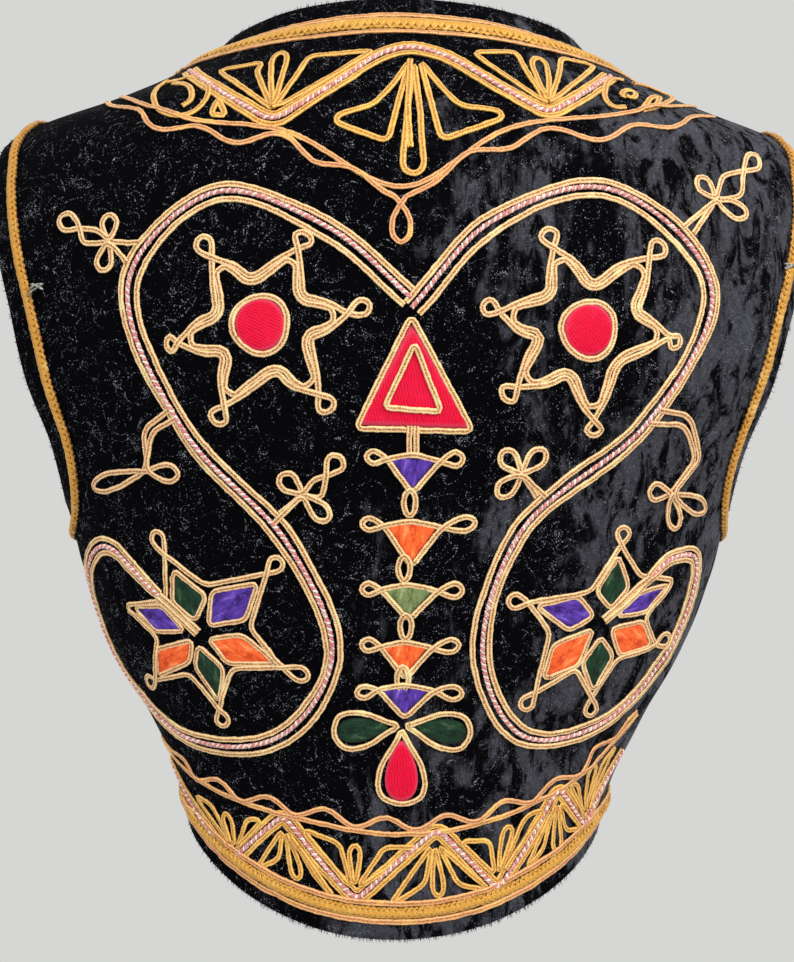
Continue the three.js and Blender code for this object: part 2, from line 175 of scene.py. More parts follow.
# Creases pressed and worn into the cloth: a soft trough (minus) or ridge (plus) from one place to another.
CREASES = [
    # s0, z0, s1, z1, width, height
    (134, -206, 131, -318, 3.0, -0.9), (-112, -232, -128, -300, 6, -1.3), (-104, -205, -118, -262, 7, 1.2),
    (-60, -345, -104, -333, 4, -1.6), (-48, -352, -92, -344, 5, 0.9), (50, -345, 92, -336, 5, -1.2),
    (20, -352, 60, -347, 4, 0.6), (-140, -70, -152, -150, 8, -1.3), (-160, -84, -166, -160, 7, 1.2),
    (150, -80, 150, -165, 8, -1.0), (-12, -100, -20, -150, 6, -0.5), (-24, -235, -22, -300, 6, 0.6),
    (60, -90, 34, -104, 8, -0.6), (-96, -66, -60, -82, 8, 0.8), (100, -60, 128, -74, 7, 0.6),
    (200, -250, 206, -350, 8, -1.4), (-205, -245, -212, -345, 9, -1.3), (225, -300, 232, -390, 7, 1.1),
    (-232, -270, -238, -380, 8, 1.2), (262, -150, 250, -230, 10, -1.5), (-262, -140, -250, -235, 11, -1.6),
    (300, -80, 285, -160, 9, 1.0), (-300, -70, -288, -165, 9, 1.1), (255, -260, 262, -380, 9, -1.2),
    (-262, -255, -266, -385, 8, -1.0),
]


def creases(s, z):
    s, z = np.asarray(s, float), np.asarray(z, float)
    broad = 0.35 * np.sin(s * 0.061 + 1.3 * np.sin(z * 0.017)) * np.sin(z * 0.043 + 0.7)
    small = 0.22 * np.sin(s * 0.11 - z * 0.07 + 2.0) * np.sin(z * 0.09 + s * 0.021)
    h = broad + small
    for s0, z0, s1, z1, width, height in CREASES:
        ds, dz = s1 - s0, z1 - z0
        t = np.clip(((s - s0) * ds + (z - z0) * dz) / (ds * ds + dz * dz), 0, 1)
        bend = 0.12 * width * np.sin(9 * t)
        away = np.hypot(s - s0 - t * ds + bend, z - z0 - t * dz)
        h = h + height * np.exp(-(away / width) ** 2) * (0.35 + 0.65 * np.sin(np.pi * np.clip(t, 0.04, 0.96)))
    return h


def place(s, z, h=0.0):
    """Points in metres, h mm above the cloth, and the cloth's normals there."""
    s, z = np.broadcast_arrays(np.asarray(s, float), np.asarray(z, float))
    th = angle_of(s, z)
    n = normal_at(th, z)
    return (cloth(th, z) + n * (h + creases(s, z))[..., None]) / 1000, n


# ---------------------------------------------------------------- velvet
# Black crushed pile: nearly black where it stands up, blue-grey where it is pressed flat, with a faint sheen,
# stray pale fibres with painted glints, painted highlights on the pressed pile and painted light on the key
# light's side.
class V:
    """A shader value: arithmetic on it adds the nodes that work it out."""

    def __init__(self, tree, socket):
        self.tree, self.socket = tree, socket

    def math(self, kind, *others, clamp=False):
        return node(self.tree, "ShaderNodeMath", [self, *others], operation=kind, use_clamp=clamp)

    def __add__(self, o): return self.math("ADD", o)
    def __radd__(self, o): return self.math("ADD", o)
    def __sub__(self, o): return self.math("SUBTRACT", o)
    def __rsub__(self, o): return node(self.tree, "ShaderNodeMath", [o, self], operation="SUBTRACT")
    def __mul__(self, o): return self.math("MULTIPLY", o)
    def __rmul__(self, o): return self.math("MULTIPLY", o)
    def __truediv__(self, o): return self.math("DIVIDE", o)
    def sin(self): return self.math("SINE")
    def abs(self): return self.math("ABSOLUTE")

    def step(self, low, high):
        return node(self.tree, "ShaderNodeMapRange", [self, low, high, 0.0, 1.0],
                    interpolation_type="SMOOTHSTEP")


def node(tree, kind, inputs=(), out=0, **settings):
    """Adds one node. inputs is a list in socket order or a dict by name; values and V both work."""
    n = tree.nodes.new(kind)
    for key, value in settings.items():
        setattr(n, key, value)
    for key, value in (inputs.items() if isinstance(inputs, dict) else enumerate(inputs)):
        if isinstance(value, V):
            tree.links.new(value.socket, n.inputs[key])
        elif value is not None:
            n.inputs[key].default_value = value
    return V(tree, n.outputs[out])


def material(name):
    m = bpy.data.materials.new(name)
    m.use_nodes = True
    m.node_tree.nodes.clear()
    return m, m.node_tree


def finish_material(m, shader):
    out = m.node_tree.nodes.new("ShaderNodeOutputMaterial")
    m.node_tree.links.new(shader.socket, out.inputs["Surface"])
    return m


def sheen(weight, rough, tint):
    return {"Sheen Weight": weight, "Sheen Roughness": rough, "Sheen Tint": (*tint, 1)}


def surface(tree, shade, rough, bump, *more):
    """A principled shader; bump is its height, strength and depth in metres; more sockets come in dicts."""
    sockets = {"Base Color": shade, "Roughness": rough}
    if bump:
        height, strength, depth = bump
        bumped = {"Strength": strength, "Distance": depth, "Height": height}
        sockets["Normal"] = node(tree, "ShaderNodeBump", bumped)
    for extra in more:
        sockets.update(extra)
    return node(tree, "ShaderNodeBsdfPrincipled", sockets)


def colour_mix(tree, factor, a, b):
    n = tree.nodes.new("ShaderNodeMix")
    n.data_type = "RGBA"
    for key, value in ((0, factor), (6, a), (7, b)):
        if isinstance(value, V):
            tree.links.new(value.socket, n.inputs[key])
        else:
            n.inputs[key].default_value = value if key == 0 else (*value, 1)
    return V(tree, n.outputs[2])


def noise(tree, where, scale, detail=2.0, rough=0.5, distortion=0.0):
    return node(tree, "ShaderNodeTexNoise", {"Vector": where, "Scale": scale, "Detail": detail,
                                             "Roughness": rough, "Distortion": distortion})


def object_place(tree, scale=(1, 1, 1)):
    co = node(tree, "ShaderNodeTexCoord", out=3)
    return node(tree, "ShaderNodeMapping", {"Vector": co, "Scale": scale})


def velvet_black():
    m, t = material("black_velvet")
    here, tall = object_place(t), object_place(t, (1, 1, 0.42))
    x = node(t, "ShaderNodeSeparateXYZ", [here], out=0)
    z = node(t, "ShaderNodeSeparateXYZ", [here], out=2)
    # pressed patches: blotches a centimetre or two wide, drawn out upwards, more near the hem and more on the
    # wearer's right; the extra grey on the right is painted light from the key lamp's side
    blotch = noise(t, tall, 40, 4, 0.62, 0.8)
    fine = noise(t, tall, 210, 3, 0.62, 0.5)
    low_down = (z * -1.0 - 0.31).math("MAXIMUM", 0.0) * 3.2
    # painted light: lean grows towards the wearer's right, the side the key light falls on, and low_down adds
    # more towards the hem
    lean = ((x * -3.6 - 0.05).math("MAXIMUM", -0.36) + low_down).math("MINIMUM", 0.40)
    pressed = (blotch + (fine - 0.5) * 0.30 + lean * 0.55 - 0.06).step(0.49, 0.66)
    # marks: where it is low the pressed grey stays black as crushed creases, partly standing pile and partly
    # painted crease shade; where it is high it sets painted highlights
    marks = noise(t, object_place(t, (1, 1, 0.40)), 120, 5, 0.72, 0.7)
    grain = noise(t, here, 1500, 2, 0.6)
    pile = noise(t, here, 520, 3, 0.65)
    # stray pale fibres along wandering curls, partly real fibres and partly painted glints where the
    # stitching catches light
    wander = (noise(t, here, 85, 1, 0.5, 1.2) - 0.5).abs()
    curled = (noise(t, here, 1700, 1, 0.5) + noise(t, here, 150, 2, 0.5) * 0.35).step(0.78, 0.85)
    loose = (noise(t, here, 1500, 1, 0.5) + noise(t, here, 110, 2, 0.5) * 0.4).step(0.915, 0.96)
    fibres_and_glints = curled * (1.0 - wander.step(0.010, 0.034)) + loose * 0.7
    shade = colour_mix(t, pressed * marks.step(0.43, 0.52), (0.0010, 0.0010, 0.0018), (0.023, 0.0235, 0.032))
    # painted highlights on the pressed pile: lighter spots where marks is high, then lighter pile tips
    shade = colour_mix(t, pressed * marks.step(0.56, 0.68) * 0.8, shade, (0.050, 0.052, 0.066))
    pile_highlights = ((grain - 0.12) + (pile - 0.5) * 0.8).step(0.34, 0.62) * pressed * marks.step(0.42, 0.52)
    shade = colour_mix(t, pile_highlights * 0.62, shade, (0.074, 0.077, 0.096))
    # pale fibres with painted glints, fewer over the pressed patches
    stray = (fibres_and_glints * (1.0 - pressed * 0.6)).math("MULTIPLY", 0.60, clamp=True)
    shade = colour_mix(t, stray, shade, (0.30, 0.31, 0.36))
    crumple = noise(t, object_place(t, (1, 1, 0.55)), 230, 3, 0.55, 1.1)
    height = grain * 0.12 + pile * 0.25 + crumple * 0.9 + blotch * 1.1
    bump = (height, 0.85, 0.0022)
    deep = surface(t, shade, 0.95, bump, {"Specular IOR Level": 0.03})
    flat = surface(t, shade, 0.72, bump, {"Specular IOR Level": 0.20}, sheen(0.10, 0.35, (0.7, 0.72, 0.85)))
    return finish_material(m, node(t, "ShaderNodeMixShader", [pressed * marks.step(0.40, 0.52), deep, flat]))


def backing_cloth():
    m, t = material("backing_cotton")
    here = object_place(t)
    warp, weft = object_place(t, (1, 1, 0.25)), object_place(t, (0.25, 0.25, 1))
    weave = noise(t, warp, 1600, 2) * 0.5 + noise(t, weft, 1600, 2) * 0.5
    shade = colour_mix(t, weave.step(0.3, 0.7), (0.012, 0.012, 0.014), (0.030, 0.029, 0.031))
    shade = colour_mix(t, noise(t, here, 18, 3).step(0.5, 0.8) * 0.4, shade, (0.045, 0.043, 0.043))
    return finish_material(m, surface(t, shade, 0.9, (weave, 0.4, 0.0003), {"Specular IOR Level": 0.2}))


VELVET, BACKING = velvet_black(), backing_cloth()


def floor_paper():
    """Pale paper on the floor, which fades into the room's own light away from the vest."""
    m, t = material("floor_paper")
    here = object_place(t)
    level = node(t, "ShaderNodeVectorMath", [here, (1.0, 1.0, 0.0)], operation="MULTIPLY")
    away = node(t, "ShaderNodeVectorMath", [level], out=1, operation="LENGTH")
    grain = noise(t, here, 60, 3)
    shade = colour_mix(t, grain.step(0.3, 0.7), (0.78, 0.79, 0.77), (0.82, 0.83, 0.81))
    return finish_material(m, surface(t, shade, 0.9, (grain, 0.1, 0.001),
                                      {"Alpha": 1.0 - away.step(0.5, 1.4)}))


floor_mesh.materials.append(floor_paper())


def face_outwards(o, merge=False):
    bm = bmesh.new()
    bm.from_mesh(o.data)
    if merge:
        bmesh.ops.remove_doubles(bm, verts=bm.verts, dist=1e-6)
    bmesh.ops.recalc_face_normals(bm, faces=bm.faces)
    bm.to_mesh(o.data)
    bm.free()


def mesh_object(name, points, faces, materials, face_material=None):
    me = bpy.data.meshes.new(name)
    me.from_pydata([tuple(p) for p in np.asarray(points, float)], [], faces)
    me.update()
    for mat in materials:
        me.materials.append(mat)
    if face_material is not None:
        me.polygons.foreach_set("material_index", np.asarray(face_material, np.int32))
    me.polygons.foreach_set("use_smooth", np.full(len(me.polygons), True))
    me.update()
    o = bpy.data.objects.new(name, me)
    scene.collection.objects.link(o)
    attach(o, "root")
    return o


def side_angle(z, front):
    q = np.maximum(1 - ((z - ARM_Z) / ARM_HALF) ** 2, 0)
    y = np.maximum(SEAM_GAP / 2, (ARM_FRONT if front else ARM_BACK) * np.sqrt(q))
    return np.arcsin(np.clip(y / measure(z, 3 if front else 2), 0, 1) ** (1 / measure(z, 4)))


def hem_height(th, front):
    return HEM_SIDE - (HEM_FRONT if front else HEM_BACK) * np.abs(np.sin(th)) ** HEM_ROUND


def front_angle(z):
    z = np.minimum(z, 0.0)
    opened = (NECK_HALF - FRONT_EDGE) * np.maximum(1 + z / V_DEPTH, 0) ** 0.95
    x = np.where(z > -V_DEPTH, FRONT_EDGE + opened, FRONT_EDGE)
    return -np.arccos(np.clip(x / np.maximum(measure(z, 1), x), -1, 1))


# The panels' free outlines, for the pile that stands out there: points, ways out, normals, panel, order.
rims = []


def panel(name, columns, start, end, neck, hem, seams):
    """A velvet wall between two edges given as angles, with turned edges; its rows run from neck to hem."""
    shoulder = -49.0 * np.linspace(0, 1, 26) ** 1.25
    arm = ARM_Z + ARM_HALF * np.cos(np.radians(np.arange(4, 181, 4.0)))
    low = np.linspace(-233, -361, 44)
    rows = []
    u = np.linspace(0, 1, columns + 1)
    if neck is not None:
        a, b = start(np.array(0.0)), end(np.array(0.0))
        th = a + (b - a) * u
        rows += [(th, neck(th) * f) for f in (1.0, 0.5)]
    for z in [*shoulder, *arm, *low]:
        a, b = start(np.array(z)), end(np.array(z))
        rows.append((a + (b - a) * u, np.full(columns + 1, z)))
    a, b = start(np.array(-361.0)), end(np.array(-361.0))
    th = a + (b - a) * u
    rows += [(th, -361 + (hem(th) + 361) * f) for f in np.linspace(0, 1, 18)[1:]]
    th, z = np.array([r[0] for r in rows]), np.array([r[1] for r in rows])
    base, n = cloth(th, z), normal_at(th, z)
    for side, col in ((seams[0], 0), (seams[1], -1)):
        if side:
            n[:, col, 1] = 0
            n[:, col] /= np.linalg.norm(n[:, col], axis=-1, keepdims=True)
    s = arc_of(th, z)
    h = creases(s, z)[..., None]
    outer, inner = base + n * h, base + n * (h - WALL)
    # the edge is turned over, so its outline is a half round half the wall thick
    R, C = th.shape
    middle = base + n * (h - WALL / 2)
    grid_o = np.arange(R * C).reshape(R, C)
    grid_i = grid_o + R * C
    rim = [(0, c) for c in range(C)] + [(r, C - 1) for r in range(1, R)]
    rim += [(R - 1, c) for c in range(C - 2, -1, -1)] + [(r, 0) for r in range(R - 2, 0, -1)]
    rim_id = {rc: 2 * R * C + k for k, rc in enumerate(rim)}
    rim_points = []
    for r, c in rim:
        inward = base[min(max(r, 1), R - 2), min(max(c, 1), C - 2)] - base[r, c]
        length = np.linalg.norm(inward)
        seam = (c == 0 and seams[0]) or (c == C - 1 and seams[1])
        if not seam or abs(base[r, c][1]) > 0.4:
            rims.append((middle[r, c], -inward / max(length, 1e-6), n[r, c], name))
        turned_over = 0 if seam and abs(base[r, c][1]) < 0.3 else 0.55
        rim_points.append(middle[r, c] - turned_over * inward / max(length, 1e-6))
    pts = np.concatenate([outer.reshape(-1, 3), inner.reshape(-1, 3), np.array(rim_points)]) / 1000
    faces, mats = [], []
    for r in range(R - 1):
        for c in range(C - 1):
            a, b, d, e = grid_o[r, c], grid_o[r, c + 1], grid_o[r + 1, c], grid_o[r + 1, c + 1]
            faces.append((a, b, e, d))
            a, b, d, e = grid_i[r, c], grid_i[r, c + 1], grid_i[r + 1, c], grid_i[r + 1, c + 1]
            faces.append((a, d, e, b))
            mats += [0, 1]
    for k in range(len(rim)):
        p, q = rim[k], rim[(k + 1) % len(rim)]
        faces.append((grid_o[q], grid_o[p], rim_id[p], rim_id[q]))
        faces.append((rim_id[q], rim_id[p], grid_i[p], grid_i[q]))
        mats += [0, 0]
    o = mesh_object(name, pts, faces, [VELVET, BACKING], mats)
    face_outwards(o, merge=True)
    return o


def back_seam(z):
    return side_angle(z, False)


def back_neck(th):
    return NECK_DROP * np.sin(th) ** 2


back = panel("back_velvet", 150, back_seam, lambda z: np.pi - back_seam(z), back_neck,
             lambda th: hem_height(th, False), (True, True))
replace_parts(back, "back_panel")
for side, word in ((1, "left"), (-1, "right")):
    turn = (lambda th: th) if side > 0 else (lambda th: np.pi - th)
    front = panel(f"front_velvet_{word}", 70, lambda z: turn(-side_angle(z, True)),
                  lambda z: turn(np.minimum(front_angle(z), -side_angle(z, True))), None,
                  lambda th: hem_height(th, True), (True, False))
    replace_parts(front, f"front_panel_{word}")

# ---------------------------------------------------------------- soutache cord work
# Narrow braid of gold thread laid down and couched by hand: two light ribs with a darker groove between them,
# crossing itself at every loop.
# A cord is a line of places; Geometry Nodes sweep the ribbed section along it.
def spline(points, step=1.5):
    """A smooth line through every point, evenly spaced."""
    p = np.array(points, float)
    q = np.concatenate([[2 * p[0] - p[1]], p, [2 * p[-1] - p[-2]]])
    out = []
    for i in range(1, len(q) - 2):
        a, b, c, d = q[i - 1], q[i], q[i + 1], q[i + 2]
        k = np.cumsum([0] + [max(np.linalg.norm(v), 1e-6) ** 0.5 for v in (b - a, c - b, d - c)])
        t = np.linspace(k[1], k[2], 14, endpoint=False)[:, None]
        A1 = (k[1] - t) / (k[1] - k[0]) * a + (t - k[0]) / (k[1] - k[0]) * b
        A2 = (k[2] - t) / (k[2] - k[1]) * b + (t - k[1]) / (k[2] - k[1]) * c
        A3 = (k[3] - t) / (k[3] - k[2]) * c + (t - k[2]) / (k[3] - k[2]) * d
        B1 = (k[2] - t) / (k[2] - k[0]) * A1 + (t - k[0]) / (k[2] - k[0]) * A2
        B2 = (k[3] - t) / (k[3] - k[1]) * A2 + (t - k[1]) / (k[3] - k[1]) * A3
        out.append((k[2] - t) / (k[2] - k[1]) * B1 + (t - k[1]) / (k[2] - k[1]) * B2)
    return evenly(np.concatenate(out + [p[-1:]]), step)


def evenly(p, step=1.5):
    d = np.concatenate([[0], np.cumsum(np.linalg.norm(np.diff(p, axis=0), axis=1))])
    u = np.linspace(0, d[-1], max(int(round(d[-1] / step)), 3) + 1)
    return np.stack([np.interp(u, d, p[:, k]) for k in range(2)], 1)


def route(points, bend=4.0, closed=False, step=1.5):
    """Straight runs between the points with the corners bent round."""
    p = np.array(points, float)
    n = len(p)
    out = [] if closed else [p[0]]
    for i in range(0 if closed else 1, n if closed else n - 1):
        a, b, c = p[i - 1], p[i], p[(i + 1) % n]
        r1, r2 = (min(bend, np.linalg.norm(v) / 2) / max(np.linalg.norm(v), 1e-6) for v in (a - b, c - b))
        s, e = b + (a - b) * r1, b + (c - b) * r2
        t = np.linspace(0, 1, 8)[:, None]
        out.extend((1 - t) ** 2 * s + 2 * t * (1 - t) * b + t * t * e)
    out.append(out[0] if closed else p[-1])
    return evenly(np.array(out), step)


def polar(centre, angle, reach):
    angle = math.radians(angle)
    return np.array([centre[0] + reach * math.cos(angle), centre[1] + reach * math.sin(angle)])


def loop(come, cross, tip, width=6.0):
    """The turning points of a small loop: over the crossing, round the tip and back to the crossing."""
    c, t = np.array(cross, float), np.array(tip, float)
    u = t - c
    length = np.linalg.norm(u)
    u = u / max(length, 1e-6)
    side = np.array([-u[1], u[0]])
    v = side * (1 if np.dot(np.array(come, float) - c, side) < 0 else -1) * width / 2
    out = [(length * 0.45, 0.9), (length * 0.8, 1.25), (length + 0.9, 0.45)]
    return [c] + [c + u * far + v * wide for far, wide in out] + [c + u * far - v * wide for far,
            wide in out[::-1]] + [c]


def beside(p, by):
    """The line moved sideways along the cloth, mm; plus is to the right of its way, seen from outside."""
    p = np.asarray(p, float)
    if len(p) < 3:
        return p
    here, n = place(p[:, 0], p[:, 1])
    by_s = (place(p[:, 0] + 0.5, p[:, 1])[0] - place(p[:, 0] - 0.5, p[:, 1])[0]) * 1000
    by_z = (place(p[:, 0], p[:, 1] + 0.5)[0] - place(p[:, 0], p[:, 1] - 0.5)[0]) * 1000
    way = np.gradient(here, axis=0)
    if np.linalg.norm(p[0] - p[-1]) < 1e-6:
        way[0] = way[-1] = here[1] - here[-2]
    side = np.cross(way, n)
    side *= (np.broadcast_to(np.asarray(by, float), len(p)) / np.linalg.norm(side, axis=1))[:, None]
    a, b, c = (by_s * by_s).sum(1), (by_s * by_z).sum(1), (by_z * by_z).sum(1)
    e, f = (side * by_s).sum(1), (side * by_z).sum(1)
    det = a * c - b * b
    return p + np.stack([(e * c - f * b) / det, (f * a - e * b) / det], 1)


laid = {}     # what already lies on the cloth, by cell, so that the next cord passes over it


def lay(p, thick=1.15, reach=1.7, lift=0.5, own=9.0):
    """Heights of a cord's middle: it rests on the velvet and climbs over any cord that it crosses."""
    flat = place(p[:, 0], p[:, 1])[0] * 1000
    d = np.concatenate([[0], np.cumsum(np.linalg.norm(np.diff(flat, axis=0), axis=1))])
    h = np.full(len(p), lift)
    mark = object()
    near = [(a, b, c) for a in (-1, 0, 1) for b in (-1, 0, 1) for c in (-1, 0, 1)]
    for i, (x, y, z) in enumerate(flat.tolist()):
        ci, cj, ck = int(x // 2), int(y // 2), int(z // 2)
        for a, b, c in near:
            for x2, y2, z2, h2, m2, d2 in laid.get((ci + a, cj + b, ck + c), ()):
                if m2 is mark and d[i] - d2 < own:
                    continue
                away = ((x - x2) ** 2 + (y - y2) ** 2 + (z - z2) ** 2) ** 0.5
                if away < reach:
                    h[i] = max(h[i], h2 + thick * 0.8 * (1 - (away / reach) ** 2) ** 0.5)
        laid.setdefault((ci, cj, ck), []).append((x, y, z, min(h[i], 1.8), mark, d[i]))
    h = np.minimum(h, 2.4)
    for _ in range(2):
        h = np.convolve(np.pad(h, 1, mode="edge"), [0.25, 0.5, 0.25], "valid")
    return h


class Cords:
    """Lines collected for one sweep: places, normals, and a tone from 0, yellow gold, to 1, pinkish."""

    def __init__(self):
        self.points, self.up, self.tone, self.edges = [], [], [], []
        self.count = 0

    def add(self, p, tone=0.35, lift=0.5, thick=1.15, heights=None):
        rng = np.random.default_rng(int(abs(p[0, 0] * 7 + p[0, 1] * 13)) + len(p))
        wave = np.convolve(rng.normal(0, 1, len(p) + 8), np.ones(4) / 4, "same")[4:-4] * 0.16
        if np.linalg.norm(p[0] - p[-1]) < 1e-6:
            wave = wave * np.sin(np.linspace(0, np.pi, len(p)))
        p2 = beside(p, wave)
        h = lay(p2, thick, lift=lift) if heights is None else heights
        self.line(*place(p2[:, 0], p2[:, 1], h), tone)

    def line(self, xyz, up, tone):
        """Takes a line that is already in metres, with its normals."""
        k = len(xyz)
        self.points.append(xyz)
        self.up.append(up)
        self.tone.append(np.full(k, tone))
        self.edges += [(self.count + i, self.count + i + 1) for i in range(k - 1)]
        self.count += k


def new_tree(name, sizes):
    """A tree with geometry in and out, a Finish, and a named input for each size, of its value's kind."""
    t = bpy.data.node_groups.new(name, "GeometryNodeTree")
    t.interface.new_socket("Geometry", in_out="INPUT", socket_type="NodeSocketGeometry")
    for label, start in sizes.items():
        kind = "NodeSocketInt" if isinstance(start, int) else "NodeSocketFloat"
        t.interface.new_socket(label, in_out="INPUT", socket_type=kind).default_value = start
    t.interface.new_socket("Finish", in_out="INPUT", socket_type="NodeSocketMaterial")
    t.interface.new_socket("Geometry", in_out="OUTPUT", socket_type="NodeSocketGeometry")
    group = t.nodes.new("NodeGroupInput")
    return t, {s.name: V(t, s) for s in group.outputs if s.name}


def end_tree(t, made, finish):
    made = node(t, "GeometryNodeRealizeInstances", {"Geometry": made})
    made = node(t, "GeometryNodeSetMaterial", {"Geometry": made, "Material": finish})
    t.links.new(made.socket, t.nodes.new("NodeGroupOutput").inputs[0])
    return t


def stored(t, geometry, name, value):
    return node(t, "GeometryNodeStoreNamedAttribute", {"Geometry": geometry, "Name": name, "Value": value},
                data_type="FLOAT", domain="POINT")


def sweep_tree(name, ribs):
    """A section that is ribs wide, swept along every line: its sizes are the tree's inputs."""
    t, given = new_tree(name, {"Width": 0.0025, "Height": 0.0012, "Groove": 0.4, "Ragged": 0.0009,
                               "Sides": 14})
    line = node(t, "GeometryNodeMeshToCurve", {"Mesh": given["Geometry"]})
    up = node(t, "GeometryNodeInputNamedAttribute", {"Name": "up"}, data_type="FLOAT_VECTOR")
    line = node(t, "GeometryNodeSetCurveNormal", {"Curve": line, "Normal": up}, mode="FREE")
    length = node(t, "GeometryNodeSplineParameter", out=1)
    line = stored(t, line, "along", length)
    ring = node(t, "GeometryNodeCurvePrimitiveCircle", {"Resolution": given["Sides"], "Radius": 1.0})
    at = node(t, "GeometryNodeInputPosition")
    x, y = node(t, "ShaderNodeSeparateXYZ", [at], out=0), node(t, "ShaderNodeSeparateXYZ", [at], out=1)
    rise = y * (1.0 - (1.0 - (x.abs() * 2.4).math("MINIMUM", 1.0)) * given["Groove"]) if ribs == 2 else y
    shape = node(t, "ShaderNodeCombineXYZ", [rise * given["Height"] * 0.5, x * given["Width"] * 0.5, 0.0])
    ring = node(t, "GeometryNodeSetPosition", {"Geometry": ring, "Position": shape})
    moved = node(t, "GeometryNodeInputPosition")
    sideways = node(t, "ShaderNodeSeparateXYZ", [moved], out=1) / (given["Width"] * 0.5)
    ring = stored(t, ring, "across", sideways)
    swept = node(t, "GeometryNodeCurveToMesh", {"Curve": line, "Profile Curve": ring, "Fill Caps": True})
    ragged = node(t, "ShaderNodeTexNoise", {"Scale": 1100.0, "Detail": 1.0}, out=1)
    ragged = node(t, "ShaderNodeVectorMath", [ragged, (-0.5, -0.5, -0.5)], operation="ADD")
    ragged = node(t, "ShaderNodeVectorMath", {0: ragged, "Scale": given["Ragged"]}, operation="SCALE")
    swept = node(t, "GeometryNodeSetPosition", {"Geometry": swept, "Offset": ragged})
    return end_tree(t, node(t, "GeometryNodeSetShadeSmooth", {"Geometry": swept}), given["Finish"])


def sweep(name, cords, tree, finish, slot, **sizes):
    """Runs the tree over the collected lines and keeps the plain mesh it makes."""
    me = bpy.data.meshes.new(name + "_lines")
    me.from_pydata([tuple(v) for v in np.concatenate(cords.points)], cords.edges, [])
    up = me.attributes.new("up", "FLOAT_VECTOR", "POINT")
    up.data.foreach_set("vector", np.concatenate(cords.up).ravel())
    me.attributes.new("tone", "FLOAT", "POINT").data.foreach_set("value", np.concatenate(cords.tone))
    o = bpy.data.objects.new(name + "_lines", me)
    scene.collection.objects.link(o)
    mod = o.modifiers.new("sweep", "NODES")
    mod.node_group = tree
    for item in tree.interface.items_tree:
        if item.in_out == "INPUT" and item.name in sizes:
            mod[item.identifier] = sizes[item.name]
        if item.in_out == "INPUT" and item.name == "Finish":
            mod[item.identifier] = finish
    made = bpy.data.meshes.new_from_object(o.evaluated_get(bpy.context.evaluated_depsgraph_get()))
    bpy.data.objects.remove(o)
    made.name = name
    piece = bpy.data.objects.new(name, made)
    scene.collection.objects.link(piece)
    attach(piece, "root")
    return piece


def attribute(tree, name):
    return node(tree, "ShaderNodeAttribute", out=2, attribute_name=name)


def gold_cord(name, ridge, ridge_pink, groove, groove_pink, rough):
    """Thread-wrapped cord: slanting threads on the ribs, dark dashes in the groove, worn paler in places."""
    m, t = material(name)
    along, across, tone = attribute(t, "along"), attribute(t, "across"), attribute(t, "tone")
    here = object_place(t)
    mess = noise(t, here, 420, 2, 0.6)
    threads = ((along * 5200.0 + across.abs() * 5.0 + mess * 2.4).sin() + 1.0) * 0.5
    cross_threads = ((along * 7900.0 - across * 7.0).sin() + 1.0) * 0.5
    rib = 1.0 - (across.abs() * 2.1).math("MINIMUM", 1.0)            # 1 in the groove
    edge = across.abs().step(0.86, 1.0)
    light = colour_mix(t, tone, ridge, ridge_pink)
    dark = colour_mix(t, tone, groove, groove_pink)
    dash = ((along * 3100.0 + 1.2).sin() * 0.5 + 0.5) * 0.45
    shadow = rib.step(0.10, 0.52) * (0.62 + dash) + edge * 0.5 + threads.step(0.35, 0.95) * 0.38
    body = colour_mix(t, shadow.math("MINIMUM", 1.0), light, dark)
    worn = noise(t, here, 95, 3, 0.55)
    body = colour_mix(t, worn.step(0.52, 0.75) * 0.42, body, tuple(min(c * 1.25, 1) for c in ridge))
    body = colour_mix(t, (1.0 - mess.step(0.22, 0.42)) * 0.5, body, tuple(c * 0.45 for c in groove))
    height = threads * 0.8 + cross_threads * 0.3 + mess * 0.9
    soft = sheen(0.25, 0.4, (1, 0.9, 0.7))
    return finish_material(m, surface(t, body, rough, (height, 0.75, 0.00022), {"Metallic": 0.15}, soft))


CORD = gold_cord("gold_soutache", (0.93, 0.70, 0.33), (0.86, 0.52, 0.30), (0.33, 0.125, 0.022),
                 (0.36, 0.125, 0.055), 0.55)
RIBBED = sweep_tree("ribbed_sweep", 2)


def soutache(name, cords, width, height=0.0013, finish=None, slot="pale_gold_cord"):
    """Two-ribbed cord laid along every collected line; pale gold unless another finish is given."""
    return sweep(name, cords, RIBBED, finish or CORD, slot, Width=width, Height=height, Groove=0.6, Sides=14)


